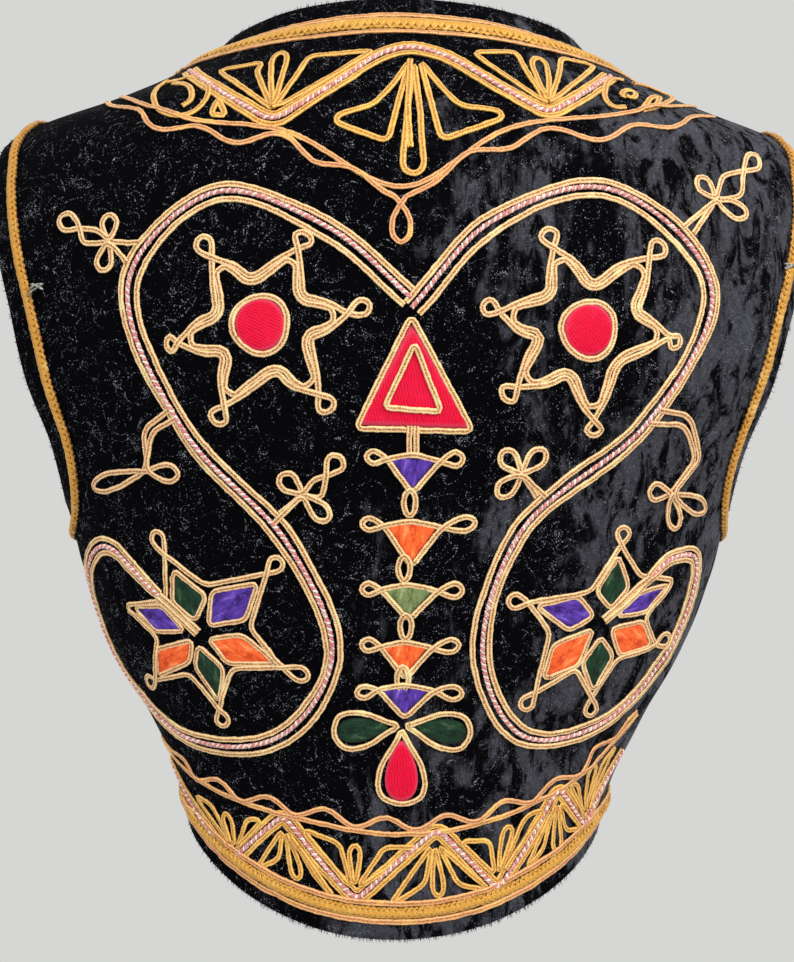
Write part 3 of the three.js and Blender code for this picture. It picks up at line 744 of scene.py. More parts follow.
# The stars: a looped outer cord, a plain inner cord inside it and a ring round the satin, six arms as they
# were laid by eye.
STAR_TABLE = {
    # centre, then for each arm: loop angle and reach, crossing angle and reach, next valley angle and reach
    "left": ((58, -150), [(54, 44, 53, 34, 78, 19), (117, 41, 117, 34, 147, 21), (170, 45, 173, 36, 194, 21),
                          (230, 45, 229, 37, 249, 20), (296, 44, 295, 36, 322, 19),
                          (349, 41, 349, 36, 375, 19)]),
    "right": ((-79, -150), [(65, 44, 64, 36, 93, 18), (131, 49, 130, 40, 157, 23),
                            (186, 41, 182, 36, 224, 19),
                            (264, 43, 264, 37, 294, 20), (321, 45, 321, 38, 351, 22),
                            (371, 45, 369, 38, 398, 23)]),
}
for word, (centre, arms) in STAR_TABLE.items():
    cords = Cords()
    ring = [polar(centre, a, 12.0 + 0.5 * math.sin(3 * math.radians(a) + 1)) for a in range(0, 360, 20)]
    cords.add(route(ring, 9, True))
    inner, outer = [], []
    for k, (la, lr, ca, cr, va, vr) in enumerate(arms):
        sides = [polar(centre, ca - 15.5, cr * 0.76), polar(centre, ca + 15.5, cr * 0.76)]
        valley = polar(centre, va, vr)
        inner += [sides[0], polar(centre, ca - 7.5, cr - 2.2), polar(centre, ca + 7.5, cr - 2.2), sides[1],
                  valley]
        come = polar(centre, *arms[k - 1][4:])
        width = 6.2 + 0.7 * math.sin(k * 2.1)
        outer += [sides[0], *loop(come, polar(centre, ca, cr + 0.8), polar(centre, la, lr), width), sides[1],
                  valley]
    inner = route(inner, 5.5, True)
    shifted = beside(inner, 2.75)
    inward = 1 if np.hypot(*(shifted - centre).T).mean() < np.hypot(*(inner - centre).T).mean() else -1
    cords.add(beside(inner, inward * 2.75))
    cords.add(route(outer, 5.0, True))
    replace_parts(soutache(f"star_cords_{word}", cords, 0.0026), f"star_{word}")

# The flowers: six velvet petals, each outlined, inside a looped cord that leaves one petal plain on the
# scroll's side.
FLOWER_TABLE = {
    # centre, plain tip, then for each looped arm: loop angle and reach, crossing angle and reach, next valley
    "left": ((89, -282), (14, 42), (42, 21), [(65, 48, 66, 38, 102, 22), (139, 51, 140, 43, 172, 25),
                                              (199, 53, 199, 42, 224, 22), (256, 43, 256, 36, 287, 20),
                                              (321, 42, 317, 36, 351, 22)]),
    "right": ((-93, -274), (156, 42), (181, 23),
              [(195, 42, 203, 35, 242, 20), (273, 44, 275, 36, 300, 25), (313, 53, 314, 45, 349, 26),
               (372, 45, 373, 37, 421, 15), (461, 41, 461, 34, 492, 26)]),
}
PETALS = {
    # colour, tip, shoulder, inner, shoulder: angle and reach
    "left": [("green", 69, 28, 101, 17, 77, 7, 52, 18), ("purple", 141, 35, 160, 23, 145, 8, 115, 20),
             ("orange", 198, 37, 219, 19, 203, 7, 184, 21),
             ("green", 254, 31, 274, 16, 266, 7, 237, 19), ("orange", 318, 31, 336, 24, 315, 6, 295, 15),
             ("purple", 16, 34, 28, 21, 8, 8, 2, 22)],
    "right": [("green", 101, 27, 125, 18, 115, 7, 77, 14), ("purple", 157, 36, 171, 24, 165, 8, 146, 17),
              ("orange", 205, 30, 236, 19, 220, 7, 187, 21),
              ("green", 275, 31, 292, 21, 277, 9, 254, 18), ("orange", 317, 36, 333, 25, 322, 8, 302, 23),
              ("purple", 12, 31, 35, 17, 20, 7, 350, 17)],
}


def grown(corners, by):
    """The corners moved out from their middle by so many millimetres each."""
    out = np.array(corners, float) - np.mean(corners, axis=0)
    by = np.broadcast_to(by, len(out))[:, None]
    return list(np.array(corners, float) + out / np.linalg.norm(out, axis=1, keepdims=True) * by)


flower_cords = Cords()
for word, (centre, tip, valley, arms) in FLOWER_TABLE.items():
    for colour, *corners in PETALS[word]:
        corner = [polar(centre, *corners[i:i + 2]) for i in (0, 2, 4, 6)]
        flower_cords.add(route(grown(corner, (2.2, 1.6, 1.6, 1.6)), 3.2, True), 0.5)
    outer = [polar(centre, *tip), polar(centre, *valley)]
    come = outer[-1]
    for la, lr, ca, cr, va, vr in arms:
        outer += loop(come, polar(centre, ca, cr), polar(centre, la, lr), 5.6)
        come = polar(centre, va, vr)
        outer.append(come)
    flower_cords.add(route(outer, 3.6, True), 0.4)
soutache("flower_cords", flower_cords, 0.0024)

# The middle column: a framed satin triangle on a stem, five small triangles with a loop at each side, oval
# links between, and a trefoil.
CHAIN = [
    # top z, middle s, half width, drop, colour, loop ends to the left and right (s, z), link below (s, z)
    (-204, -6, 10, 13, "purple", (12.5, -204), (-26, -204), (-5, -223)),
    (-232, -6, 11, 16, "orange", (14, -232), (-32, -231), (-3, -251)),
    (-259, -5, 11, 12, "sage", (14, -260), (-27, -260), (-4, -276)),
    (-284, -4, 10, 13, "orange", (14, -284), (-26, -284), (-3, -299)),
    (-303, -4, 11, 12, "purple", (16, -306), (-28, -306), None)]
LINK = [(0, 6.5), (-2.7, 2.5), (-2.4, -3), (0, -6.5), (2.6, -2.5), (2.5, 3)]
column = Cords()
column.add(route([(-4.5, -146), (18, -192.5), (-31, -193)], 3.5, True), 0.15)
column.add(route([(-6, -157), (6, -183.5), (-17.5, -185)], 3.0, True), 0.25, lift=1.55)
column.add(route([(-4.6, -191), (-4.4, -203)], 2), 0.4)
column.add(route([(-7.2, -191), (-7.4, -203)], 2), 0.4)
for top, s, half, drop, colour, left_end, right_end, link in CHAIN:
    point, upper = (s, top - drop - 2.2), (s + 0.5, top + 1.4)
    left_cross, right_cross = (s + half + 0.8, top - 0.8), (s - half - 1.6, top - 1.4)
    path = [point, *loop(point, left_cross, left_end, 4.6), upper, *loop(upper, right_cross, right_end, 5.2)]
    column.add(route(path, 3.0, True), 0.3)
    if link:
        column.add(route(np.array(LINK) + link, 3.0, True), 0.3)
TREFOIL = [
    # colour, base s, base z, angle, length, width
    ("green", 3, -321, -8, 21, 13), ("green", -9, -321, 188, 21, 13), ("red", -3, -327, -90, 26, 17)]
for colour, s, z, angle, length, width in TREFOIL:
    u = polar((0, 0), angle, 1.0)
    v = np.array([-u[1], u[0]])
    base = np.array([s, z]) - u * 5.5
    w = width / 2 + 1.6
    out = [(6, 2.2), (length * 0.55 + 4, w), (length + 5, w * 1.02), (length + 8.5, w * 0.30)]
    path = [base] + [base + u * far + v * wide for far, wide in out] + [base + u * far - v * wide for far,
            wide in out[::-1]]
    column.add(route(path, 7.0, True), 0.3)
soutache("column_cords", column, 0.0025)

# ---------------------------------------------------------------- heart scroll
# One band each side of the middle: two gold cords with a pink and white twisted cord laid between them,
# ending in the flowers.
def twisted_yarn(name, pale, strong):
    """Two-ply twist: one ply nearly white, one pinkish, both fuzzy."""
    m, t = material(name)
    along, across, tone = attribute(t, "along"), attribute(t, "across"), attribute(t, "tone")
    here = object_place(t)
    mess = noise(t, here, 900, 2, 0.6)
    dye = tone * 0.42 + noise(t, here, 420, 2) * 1.7 - 0.62 + (mess - 0.5) * 1.1
    body = colour_mix(t, dye.step(0.12, 0.62), pale, strong)
    body = colour_mix(t, noise(t, here, 160, 2).step(0.55, 0.75) * 0.5, body, (0.80, 0.52, 0.42))
    # painted shade at each ply's sides, where the plies meet
    body = colour_mix(t, across.abs().step(0.72, 1.0) * 0.55, body, (0.30, 0.09, 0.08))
    height = mess + (along * 6000.0 + across * 4.0).sin() * 0.3
    return finish_material(m, surface(t, body, 0.75, (height, 0.7, 0.0002), sheen(0.4, 0.5, (1, 0.92, 0.9))))


PINK = twisted_yarn("pink_white_twist", (0.86, 0.72, 0.64), (0.60, 0.17, 0.16))
ROUND = sweep_tree("round_sweep", 1)


def twist(cords, line, radius=0.58, pitch=2.9, height=0.85, strands=2):
    """Plies wound round a line."""
    fine = evenly(line, 0.5)
    xyz, n = place(fine[:, 0], fine[:, 1], height)
    way = np.gradient(xyz, axis=0)
    way /= np.linalg.norm(way, axis=1, keepdims=True)
    side = np.cross(way, n)
    d = np.concatenate([[0], np.cumsum(np.linalg.norm(np.diff(xyz, axis=0), axis=1))]) * 1000
    uneven = 1 + 0.13 * np.sin(d * 0.31) * np.sin(d * 0.083 + 1)
    for k in range(strands):
        turn = 2 * np.pi * (d / pitch + k / strands) + 0.5 * np.sin(d * 0.21)
        across, up = side * np.cos(turn)[:, None], n * np.sin(turn)[:, None]
        cords.line(xyz + (across * (radius * uneven)[:, None] + up * radius * 0.6) / 1000, up + across,
                   float(k % 2))


SCROLLS = {
    # the band's turning places, from the middle out
    "left": [(-4, -139), (30, -111), (78, -95), (116, -131), (92, -193), (46, -242), (27, -290), (50, -327),
             (100, -333), (145, -306), (162, -264), (142, -245), (108, -266)],
    "right": [(-5, -143), (-38, -107), (-88, -91), (-135, -130), (-107, -188), (-52, -235), (-37, -290),
              (-57, -326), (-103, -321), (-142, -281), (-146, -248), (-129, -247),
              (-116, -256)]}
pink = Cords()
for word, points in SCROLLS.items():
    line = spline(points, 1.4)
    d = np.linspace(0, 1, len(line))
    spread = 3.3 + 0.35 * np.sin(d * 31) + 0.2 * np.sin(d * 83 + 1)
    spread *= 1 - 0.62 * np.clip((d - 0.95) / 0.05, 0, 1)
    cords = Cords()
    out = 1 if word == "left" else -1
    cords.add(beside(line, out * spread), 0.3)
    cords.add(beside(line, -out * (spread + 0.2)), 0.3)
    end = line[-1]
    goal = np.array(FLOWER_TABLE[word][0], float)
    for side in (-1.3, 1.3):
        cords.add(beside(route([end, end * 0.45 + goal * 0.55, goal], 3), side), 0.35)
    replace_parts(soutache(f"scroll_cords_{word}", cords, 0.0026, 0.0014), f"scroll_{word}")
    twist(pink, beside(line, out * (0.35 + 0.3 * np.sin(d * 24))))

# Small looped sprigs off the scroll, one cord each: out from the scroll, round its loops and back.
sprigs = Cords()
SPRIGS = [
    # foot, joint, loop ends, then the far figure: turn, crossing, end, turn back
    ((112, -115), (117, -123), (125.5, -114), [(126, -103), (129, -125)],
     [(130, -109), (140, -107), (151, -102), (139, -114)]),
    ((-126, -107), (-121, -105), (-138, -91), [(-130, -83), (-153, -96)],
     [(-143, -79), (-154, -76), (-164, -68), (-152, -88)]),
    ((50, -228), (53, -233), (40, -220), [(49, -213), (30, -230)],
     [(36, -214), (30, -212), (25, -205), (32, -222)]),
    ((-59, -220), (-63, -220), (-52, -210), [(-44, -202), (-61, -201), (-43, -219)], None)]
for foot, foot2, joint, ends, far in SPRIGS:
    path = [foot]
    for k, end in enumerate(ends):
        path += loop(path[-1], joint, end, 6.4)
        if far and k == 0:
            path += [far[0], *loop(far[0], far[1], far[2], 6.6), far[3], joint]
    sprigs.add(route(path + [foot2], 3.2), 0.35)
TAILS = [
    # doubled tails off the scroll's outer side: way out, joint, leaf ends, way back
    ([(97, -184), (112, -193)], (112, -211), [(143, -218), (97, -212)], [(109, -195), (95, -188)]),
    ([(-107, -188), (-127, -188), (-136, -202)], (-124, -218), [(-113, -217), (-130, -233), (-147, -225)],
     [(-139, -203), (-129, -184), (-112, -182)])]
for way_out, joint, ends, way_back in TAILS:
    path = list(way_out)
    for end in ends:
        path += loop(path[-1], joint, end, 6.5)
    sprigs.add(route(path + way_back, 5), 0.55)
soutache("sprig_cords", sprigs, 0.0025)

# ---------------------------------------------------------------- neck border
# Under the neck: a zigzag of two yellow-gold cords beside a twisted one, fans of cord in its angles and a
# spiral at each end. Below it two pinkish cords, one nearly straight and one wavy, cross and hang a drop in
# the middle.
YELLOW = gold_cord("yellow_gold_soutache", (0.86, 0.52, 0.10), (0.82, 0.42, 0.20), (0.42, 0.16, 0.012),
                   (0.40, 0.13, 0.05), 0.5)


def zigzag(cords, points, bend, spread=2.75):
    line = route(points, bend, step=1.4)
    for by in (-spread, spread):
        cords.add(beside(line, by + 0.25 * np.sin(np.arange(len(line)) * 0.17)), 0.15)
    twist(pink, line, radius=0.66)


def leaf(cords, base, elbow, tip):
    cords.add(route([base, elbow, tip], 3.5, True), 0.15)


def tongue(cords, base, top, width):
    """A long narrow loop that opens towards its rounded end."""
    b, t = np.array(base, float), np.array(top, float)
    u = (t - b) / np.linalg.norm(t - b)
    v = np.array([-u[1], u[0]]) * width / 2
    out = [(b + (t - b) * 0.45, 0.55), (t - u * 2, 1.0), (t + u * 1.2, 0.4)]
    path = [b] + [p + v * wide for p, wide in out] + [p - v * wide for p, wide in out[::-1]]
    cords.add(route(path, 4, True), 0.15)


neck = Cords()
zigzag(neck, [(104, -27), (77, -49.5), (55, -64.5), (28, -45), (11, -30), (-4, -25.5), (-20, -31),
              (-34, -41), (-62, -59), (-80, -45), (-99, -29)], 7)
for base, leaves, top, wide in (((55, -58), [((65, -36), (62.5, -31), (84, -32)),
                                             ((45, -38), (42, -29), (13, -28))], (55, -27), 7.5),
                                ((-62, -53), [((-54, -34), (-51, -24), (-31, -27)),
                                              ((-70, -34), (-73, -23), (-93, -22))], (-61, -27), 8)):
    for rise, elbow, tip in leaves:
        neck.add(route([base, rise, elbow, tip, (tip[0] * 0.93 + base[0] * 0.07, tip[1] - 3), base], 4,
                       True), 0.15)
    tongue(neck, base, top, wide)
neck.add(route([(-3, -33), (4, -46), (12, -57), (27, -61.5), (28, -65), (6, -74), (2, -56), (-1, -42)], 4.5,
               True), 0.1)
neck.add(route([(-7, -33), (-15, -46), (-24, -57), (-41, -58), (-42, -62), (-16, -73), (-12, -56),
                (-9, -42)], 4.5, True), 0.1)
tongue(neck, (-4.5, -34), (-4.5, -86), 9)
neck.add(route([(-3, -33), (-2.2, -60), (-3.2, -76)], 4), 0.1)
neck.add(route([(108, -34), (94, -34), (84, -46), (87, -56), (95, -60), (106, -57), (114, -45), (116, -34)],
               5, True), 0.2)
neck.add(route([(107, -37), (99, -39), (94, -44), (92, -51), (96, -54)], 4), 0.2)
neck.add(route([(82, -60), (80, -51), (75, -61)], 2.6, True), 0.2)
neck.add(route([(-107, -28), (-95, -34), (-90, -41), (-89, -48), (-92, -52), (-98, -51)], 4), 0.3)
neck.add(route([(-97, -44), (-102, -38.5), (-108, -39), (-104, -45)], 3, True), 0.2)
neck.add(route([(-114, -29), (-125, -27), (-134, -29), (-137, -33), (-116, -48), (-106, -52)], 5), 0.5)
neck.add(route([(-105, -52.5), (-114, -42), (-122, -38), (-113, -49)], 3, True), 0.2)
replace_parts(soutache("neck_border_cords", neck, 0.0027, 0.0014, YELLOW, "gold_braid"), "neck_zigzag")


def wavy(points, swing, pitch):
    """A line that swings from side to side along its way and is steady at its ends."""
    line = spline(points)
    d = np.arange(len(line)) * 1.5
    fade = np.clip(np.minimum(d, d[::-1]) / pitch, 0, 1)
    return beside(line, swing * np.sin(2 * math.pi * d / pitch) * fade)


border = Cords()
border.add(spline([(141, -36), (95, -60), (48, -69), (0, -93), (-45, -66), (-92, -56), (-146, -38)]), 0.75)
drop = [(3, -97), (-3, -105), (-3.5, -113), (0, -116.5), (3.5, -113), (3, -105), (-2, -97)]
wave_left = wavy([(146, -40), (95, -66), (48, -74), (3, -97)], 3.2, 37)
wave_right = wavy([(-2, -97), (-47, -71), (-95, -65), (-150, -45)], 3.0, 39)
border.add(evenly(np.concatenate([wave_left, spline(drop), wave_right])), 0.8)

# ---------------------------------------------------------------- hem border
# The same zigzag, fans and pair of pinkish cords above the hem, across the back from side seam to side seam.
hem = Cords()
zigzag(hem, [(128, -350), (115, -360), (97, -373), (77, -388), (64, -376), (50, -363.5), (34, -381),
             (16, -398.5), (0, -383), (-19, -367), (-34, -382), (-47, -395.5),
             (-62, -376), (-77, -352), (-87, -364), (-96, -374), (-107, -357), (-120, -340)], 4.5, 2.5)
HEM_FANS = [
    # base, leaf elbow and tip, middle loop end, leaf elbow and tip
    ((75, -382), (89, -364), (101, -362), (80, -368), (68, -367), (60, -367)),
    ((17, -393), (24, -374), (41, -369), (17, -376), (4, -375), (-12, -375)),
    ((-47, -389), (-43, -373), (-29, -373), (-52, -369), (-60, -364), (-70, -361)),
    ((-95, -368), (-88, -352), (-83, -351), (-97, -345), (-104, -343), (-112, -336)),
    ((49, -370), (52, -384), (63, -389), (43, -390), (35, -389), (25, -399)),
    ((-18, -374), (-14, -391), (2, -401), (-20, -395), (-29, -392), (-43, -395)),
    ((-77, -359), (-70, -380), (-61, -388), (-78, -381), (-83, -374), (-93, -374)),
    ((115, -363), (121, -371), (124, -362), (108, -374), (100, -376), (88, -385))]
for base, elbow, tip, middle, elbow2, tip2 in HEM_FANS:
    leaf(hem, (base[0] + 1.2, base[1]), elbow, tip)
    leaf(hem, (base[0] - 1.2, base[1]), elbow2, tip2)
    tongue(hem, base, middle, 5.4)
soutache("hem_border_cords", hem, 0.0023, 0.0012, YELLOW, "gold_braid")
border.add(spline([(131, -341), (92, -355), (46, -364), (-6, -369.5), (-52, -362), (-94, -345),
                   (-124, -322)]), 0.7)
border.add(wavy([(128, -338), (92, -352), (46, -360), (-6, -365), (-52, -358), (-94, -341), (-122, -320)],
                2.7, 27), 0.85)
soutache("border_line_cords", border, 0.0023, 0.0012, YELLOW, "gold_braid")

# ---------------------------------------------------------------- edge braids
# Three-strand flat plaits of yellow-gold yarn sewn along the neck and front edges, the hem and both armholes;
# the neck and hem plaits lie between two pinkish cords.
def plait_yarn():
    m, t = material("gold_plait")
    along, across, tone = attribute(t, "along"), attribute(t, "across"), attribute(t, "tone")
    here = object_place(t)
    mess = noise(t, here, 700, 2, 0.6)
    threads = ((across * 13.0 + mess * 2.0 + along * 260.0).sin() + 1.0) * 0.5
    body = colour_mix(t, tone, (0.80, 0.42, 0.055), (0.62, 0.29, 0.025))
    body = colour_mix(t, (1.0 - threads) * 0.55, body, (0.34, 0.125, 0.010))
    # painted shade along each strand's sides, where it dips under its neighbours
    body = colour_mix(t, across.abs().step(0.60, 1.0) * 0.85, body, (0.16, 0.05, 0.006))
    body = colour_mix(t, noise(t, here, 130, 3).step(0.55, 0.75) * 0.4, body, (0.95, 0.66, 0.22))
    height = threads + mess * 0.6
    soft = sheen(0.2, 0.4, (1, 0.85, 0.55))
    return finish_material(m, surface(t, body, 0.45, (height, 0.8, 0.00025), {"Metallic": 0.2}, soft))


PLAIT = plait_yarn()


def plait(cords, line, half, pitch, base, rise, tone, closed=False):
    fine = evenly(line, 0.95)
    flat = place(fine[:, 0], fine[:, 1])[0] * 1000
    d = np.concatenate([[0], np.cumsum(np.linalg.norm(np.diff(flat, axis=0), axis=1))])
    if closed:
        pitch = d[-1] / round(d[-1] / pitch)
    for k in range(3):
        turn = 2 * np.pi * (d / pitch + k / 3)
        cords.add(beside(fine, half * np.sin(turn)), tone, heights=base + rise * np.cos(2 * turn))


front_heights = [*np.arange(HEM_SIDE - HEM_FRONT + 1.0, -V_DEPTH, 12.0), *np.arange(-V_DEPTH, -9.0, 10.0),
                 -4.0]
neck_line = [(front_angle(z), z) for z in front_heights] + [(0.0, 0.0)]
neck_line += [(a, NECK_DROP * math.sin(a) ** 2) for a in map(math.radians, range(10, 90, 10))]
half_neck = [(float(arc_of(th, z)), float(z)) for th, z in neck_line]
neck_path = beside(spline(half_neck + [(0.0, NECK_DROP)] + [(-s, z) for s, z in half_neck[::-1]], 3), 20.2)
for _ in range(12):
    neck_path[1:-1] = (neck_path[:-2] + 2 * neck_path[1:-1] + neck_path[2:]) / 4
neck_path = evenly(neck_path[6:-6], 1.5)
hem_turn = [math.radians(k) for k in np.arange(-math.degrees(math.acos(FRONT_EDGE / 98)), 90, 8)]
half_hem = [(float(arc_of(a, hem_height(a, a < 0))), float(hem_height(a, a < 0))) for a in hem_turn]
middle = (0.0, float(hem_height(math.pi / 2, False)))
hem_path = beside(spline(half_hem + [middle] + [(-s, z) for s, z in half_hem[::-1]], 3), -11.5)
hem_path = evenly(hem_path[5:-5], 1.5)
EDGES = [
    # name, path, plait's half swing and pitch, strand width in metres, flanking cords' distance
    ("neck", neck_path, 2.6, 9.5, 0.0040, 6.2), ("hem", hem_path, 1.55, 7.2, 0.0025, 3.9)]
for name, path, half, pitch, wide, flank in EDGES:
    braid = Cords()
    plait(braid, path, half, pitch, 1.35, 0.75, 0.1)
    woven = sweep(f"{name}_plait", braid, ROUND, PLAIT, "gold_braid", Width=wide, Height=0.0016, Sides=8)
    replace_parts(woven, f"{name}_braid")
    sides = Cords()
    for by in (-flank, flank):
        sides.add(beside(path, by + 0.2 * np.sin(np.arange(len(path)) * 0.11)), 0.75, lift=0.75)
    soutache(f"{name}_braid_cords", sides, 0.0025, 0.0014, YELLOW, "gold_braid")
for side, word in ((1, "left"), (-1, "right")):
    ring = []
    for k in range(0, 360, 10):
        a = math.radians(k)
        back_side = math.sin(a) >= 0
        z, y = ARM_Z + ARM_HALF * math.cos(a), abs(math.sin(a)) * (ARM_BACK if back_side else ARM_FRONT)
        depth, thin = float(measure(z, 2 if back_side else 3)), float(measure(z, 4))
        th = math.asin(min(1, y / depth) ** (1 / thin)) * (1 if back_side else -1)
        ring.append((side * float(arc_of(th, z)), z))
    ring = np.array(route(ring, 6, True, 3))
    braid = Cords()
    out = np.maximum(0, np.sin(np.linspace(0, 2 * np.pi, len(ring)))) ** 0.7
    plait(braid, beside(ring, -(10 + 5 * out) if side > 0 else 10.0), 1.75, 8.2, 1.3, 0.7, 0.7, closed=True)
    woven = sweep(f"armhole_plait_{word}", braid, ROUND, PLAIT, "gold_braid", Width=0.0028, Height=0.0015,
                  Sides=8)
    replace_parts(woven, f"armhole_braid_{word}")
sweep("twisted_cords", pink, ROUND, PINK, "red_satin", Width=0.00145, Height=0.00125, Sides=6)

# ---------------------------------------------------------------- applique patches
# Crimson satin and crushed velvet in purple, orange, green and sage, cut to shape, edges hidden under the
# cords, slightly puffed.
def satin():
    m, t = material("crimson_satin")
    along, across = attribute(t, "along"), attribute(t, "across")
    here = object_place(t)
    mess = noise(t, here, 340, 4, 0.7)
    rows = ((across * 5200.0 + along * 900.0 + mess * 11.0).sin() + 1.0) * 0.5
    fine = ((across * 23000.0 + along * 900.0).sin() + 1.0) * 0.5
    body = colour_mix(t, (rows * 0.6 + mess * 0.6).step(0.15, 0.75), (0.40, 0.0, 0.018), (0.78, 0.0, 0.036))
    body = colour_mix(t, noise(t, here, 120, 3).step(0.50, 0.78) * 0.5, body, (0.80, 0.012, 0.075))
    body = colour_mix(t, attribute(t, "rim").step(0.80, 1.0) * 0.55, body, (0.62, 0.10, 0.18))
    bump = (rows + fine * 0.4, 0.6, 0.00025)
    return finish_material(m, surface(t, body, 0.42, bump, {"Specular IOR Level": 0.14},
                                      sheen(0.04, 0.5, (1, 0.4, 0.5))))


def crushed(name, dark, mid, light, amount):
    m, t = material(name)
    here = object_place(t)
    along, across = attribute(t, "along"), attribute(t, "across")
    lay_of_pile = noise(t, node(t, "ShaderNodeCombineXYZ", [along * 95.0, across * 260.0, 0.0]), 1.0, 4, 0.6,
                        0.8)
    grain = noise(t, here, 1400, 2, 0.6)
    body = colour_mix(t, (lay_of_pile + (grain - 0.5) * 0.28).step(0.34, 0.56), dark, mid)
    body = colour_mix(t, (lay_of_pile + (grain - 0.5) * 0.30).step(0.55, 0.72) * amount, body, light)
    # painted shade: darker towards the outline, where the domed pad tucks under its cord
    body = colour_mix(t, attribute(t, "rim").step(0.86, 1.0) * 0.6, body, dark)
    bump = (grain * 0.6 + lay_of_pile * 1.4, 0.6, 0.0004)
    tint = [min(1, c * 1.2 + 0.3) for c in light]
    return finish_material(m, surface(t, body, 0.8, bump, {"Specular IOR Level": 0.2},
                                      sheen(0.15, 0.35, tint)))


PATCHES = {"red": satin(),
           "purple": crushed("purple_velvet", (0.020, 0.006, 0.085), (0.085, 0.032, 0.32),
                             (0.24, 0.15, 0.52), 0.8),
           "orange": crushed("orange_velvet", (0.52, 0.045, 0.008), (0.82, 0.125, 0.025), (0.95, 0.36, 0.15),
                             0.9),
           "green": crushed("green_velvet", (0.002, 0.010, 0.004), (0.006, 0.032, 0.014), (0.10, 0.17, 0.08),
                            0.55),
           "sage": crushed("sage_velvet", (0.06, 0.09, 0.03), (0.17, 0.22, 0.085), (0.36, 0.42, 0.22), 0.8)}


def patch(solid, outline, colour, grain, puff=1.0):
    """A closed pad over its outline, flat below and domed above; along and across give its threads' lie."""
    edge = evenly(np.concatenate([outline, outline[:1]]), 1.1)[:-1]
    n, rings = len(edge), 8
    mid = edge.mean(0)
    u = np.array([math.cos(math.radians(grain)), math.sin(math.radians(grain))])
    pts, flat, rim = [], [], []
    for top in (True, False):
        for f in np.linspace(1, 1 / rings, rings):
            ring = mid + (edge - mid) * f
            h = 0.25 + puff * (1 - f ** 4) ** 0.6 if top else 0.08
            pts.append(place(ring[:, 0], ring[:, 1], h)[0])
            flat.append(ring - mid)
            rim.append(np.full(n, f))
        pts.append(place(mid[:1], mid[1:], (0.25 + puff) if top else 0.08)[0])
        flat.append(np.zeros((1, 2)))
        rim.append(np.zeros(1))
    half = n * rings + 1
    faces = []
    for base, turn in ((0, 1), (half, -1)):
        for r in range(rings - 1):
            for k in range(n):
                a, b = base + r * n + k, base + r * n + (k + 1) % n
                faces.append((a, b, b + n, a + n)[::turn])
        for k in range(n):
            a, b = base + (rings - 1) * n + k, base + (rings - 1) * n + (k + 1) % n
            faces.append((a, b, base + n * rings)[::turn])
    faces += [(k, half + k, half + (k + 1) % n, (k + 1) % n) for k in range(n)]
    name = solid + "_cloth"
    o = mesh_object(name, np.concatenate(pts), faces, [PATCHES[colour]])
    face_outwards(o)
    flat = np.concatenate(flat) / 1000
    lies = {"along": flat @ u, "across": flat @ np.array([-u[1], u[0]]), "rim": np.concatenate(rim)}
    for label, value in lies.items():
        o.data.attributes.new(label, "FLOAT", "POINT").data.foreach_set("value", value)
    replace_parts(o, solid)
    return o


for word, (centre, arms) in STAR_TABLE.items():
    disc = route([polar(centre, a, 11.2) for a in range(0, 360, 24)], 6, True)[:-1]
    patch(f"star_satin_{word}", disc, "red", 35 if word == "left" else 60, 1.2)
patch("satin_triangle", route([(-5, -148.5), (18.5, -191), (-31.5, -192)], 2.2, True)[:-1], "red", 88, 0.75)
for word, (centre, *rest) in FLOWER_TABLE.items():
    for i, (colour, *corners) in enumerate(PETALS[word]):
        corner = grown([polar(centre, *corners[k:k + 2]) for k in (0, 2, 4, 6)], 1.0)
        patch(f"petal_{word}_{i + 1}_{colour}", route(corner, 1.6, True)[:-1], colour, corners[0], 0.9)
for i, (top, s, half, drop, colour, *rest) in enumerate(CHAIN):
    outline = route(grown([(s + half, top), (s, top - drop), (s - half, top)], 0.8), 1.5, True)[:-1]
    patch(f"chain_{i + 1}_{colour}", outline, colour, 90, 0.8)
for part, (colour, s, z, angle, length, width) in zip(("left", "right", "drop"), TREFOIL):
    u = polar((0, 0), angle, 1.0)
    v = np.array([-u[1], u[0]])
    drop_line = []
    for k in range(24):
        a = 2 * math.pi * k / 24
        far = length / 2 * (1 - math.cos(a))
        wide = width / 2 * math.sin(a) * (0.45 + 0.55 * far / length)
        drop_line.append(np.array([s, z]) + u * (far * 1.08) + v * wide * 1.12)
    patch(f"trefoil_{part}_{colour}", route(drop_line, 2, True)[:-1], colour, angle, 1.0)

# ---------------------------------------------------------------- tie threads and pile at the edges
# A loose grey thread is knotted round each armhole plait, and the velvet's pile stands out as short black
# hairs along every free edge.
def plain_thread(name, dark, light, rough):
    m, t = material(name)
    here = object_place(t)
    body = colour_mix(t, noise(t, here, 1300, 2).step(0.35, 0.65), dark, light)
    bump = (noise(t, here, 2400, 2), 0.4, 0.0002)
    return finish_material(m, surface(t, body, rough, bump, {"Specular IOR Level": 0.2}))


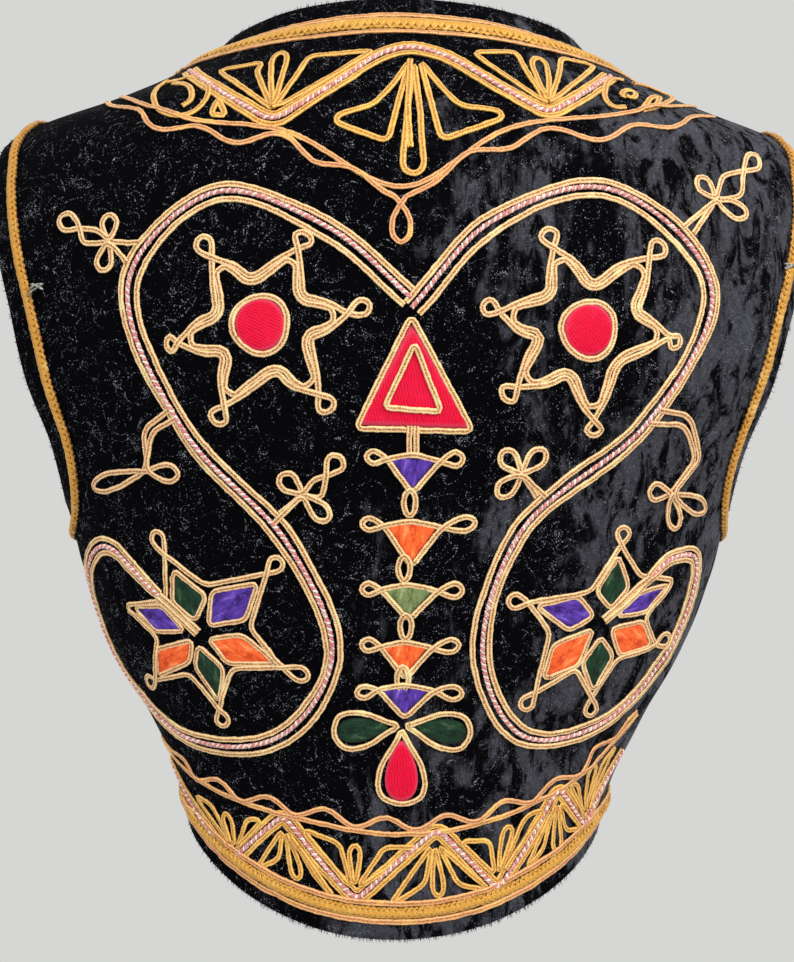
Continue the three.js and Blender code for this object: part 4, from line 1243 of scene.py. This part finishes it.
KNOT = [
    # each strand's start and end across and up from the knot
    (-3.4, 1.2, 3.6, -0.8), (-3.2, -1.0, 3.4, 1.4), (-1.0, 0.4, 7.4, -5.2), (-2.2, 0.2, 2.6, 0.6)]
knots = Cords()
for s, z, way in ((163, -131, 1), (-178, -117, -1)):
    for k, (a, c, b, d) in enumerate(KNOT):
        p = route([(s + way * a, z + c), (s + way * (a + b) / 2, z + (c + d) / 2 + 0.6),
                   (s + way * b, z + d)], 2, step=0.7)
        bow = 1.0 + 1.9 * np.sin(np.linspace(0.15, np.pi - 0.15, len(p)))
        knots.add(p, 0.5, heights=bow * (1 if k != 2 else 0.75) + 0.3)
grey_thread = plain_thread("grey_tie_thread", (0.16, 0.15, 0.14), (0.42, 0.40, 0.37), 0.8)
sweep("armhole_tie_threads", knots, ROUND, grey_thread, "pale_gold_cord", Width=0.0008, Height=0.0008,
      Sides=6)


def fringe_tree():
    """A short tapered hair on every point, leaning the way of its up attribute; its seeds are fixed."""
    t, given = new_tree("pile_fringe", {"Length": 0.0016, "Thickness": 0.00016})
    points = node(t, "GeometryNodeMeshToPoints", {"Mesh": given["Geometry"]})
    hair = node(t, "GeometryNodeMeshCone", {"Vertices": 3, "Radius Top": 0.0,
                                            "Radius Bottom": given["Thickness"],
                                            "Depth": given["Length"]})
    up = node(t, "GeometryNodeInputNamedAttribute", {"Name": "up"}, data_type="FLOAT_VECTOR")
    lean = {"Min": (-0.5, -0.5, -0.5), "Max": (0.5, 0.5, 0.5), "Seed": 7}
    stray = node(t, "FunctionNodeRandomValue", lean, data_type="FLOAT_VECTOR")
    way = node(t, "ShaderNodeVectorMath", [up, stray], operation="ADD")
    turn = node(t, "FunctionNodeAlignRotationToVector", {"Vector": way}, axis="Z")
    grow = node(t, "FunctionNodeRandomValue", {2: 0.55, 3: 1.35, "Seed": 11}, out=1, data_type="FLOAT")
    hairs = node(t, "GeometryNodeInstanceOnPoints",
                 {"Points": points, "Instance": hair, "Rotation": turn, "Scale": grow})
    return end_tree(t, hairs, given["Finish"])


rng = np.random.default_rng(5)
pile_points = Cords()
for (p, way, n, owner), (p2, way2, n2, owner2) in zip(rims, rims[1:]):
    gap = np.linalg.norm(p2 - p)
    if owner != owner2 or gap > 9:
        continue
    k = max(int(gap / 0.33), 1)
    u = rng.random((k, 1))
    spread = rng.uniform(-0.7, 0.9, (k, 1))
    at = p + (p2 - p) * u + way * 0.35 + n * spread
    pile_points.line(at / 1000, way + (way2 - way) * u + n * spread * 0.8, 0.0)
pile_points.edges = []
black_pile = plain_thread("black_pile", (0.0012, 0.0012, 0.002), (0.012, 0.012, 0.016), 0.95)
sweep("edge_pile", pile_points, fringe_tree(), black_pile, "black_velvet")
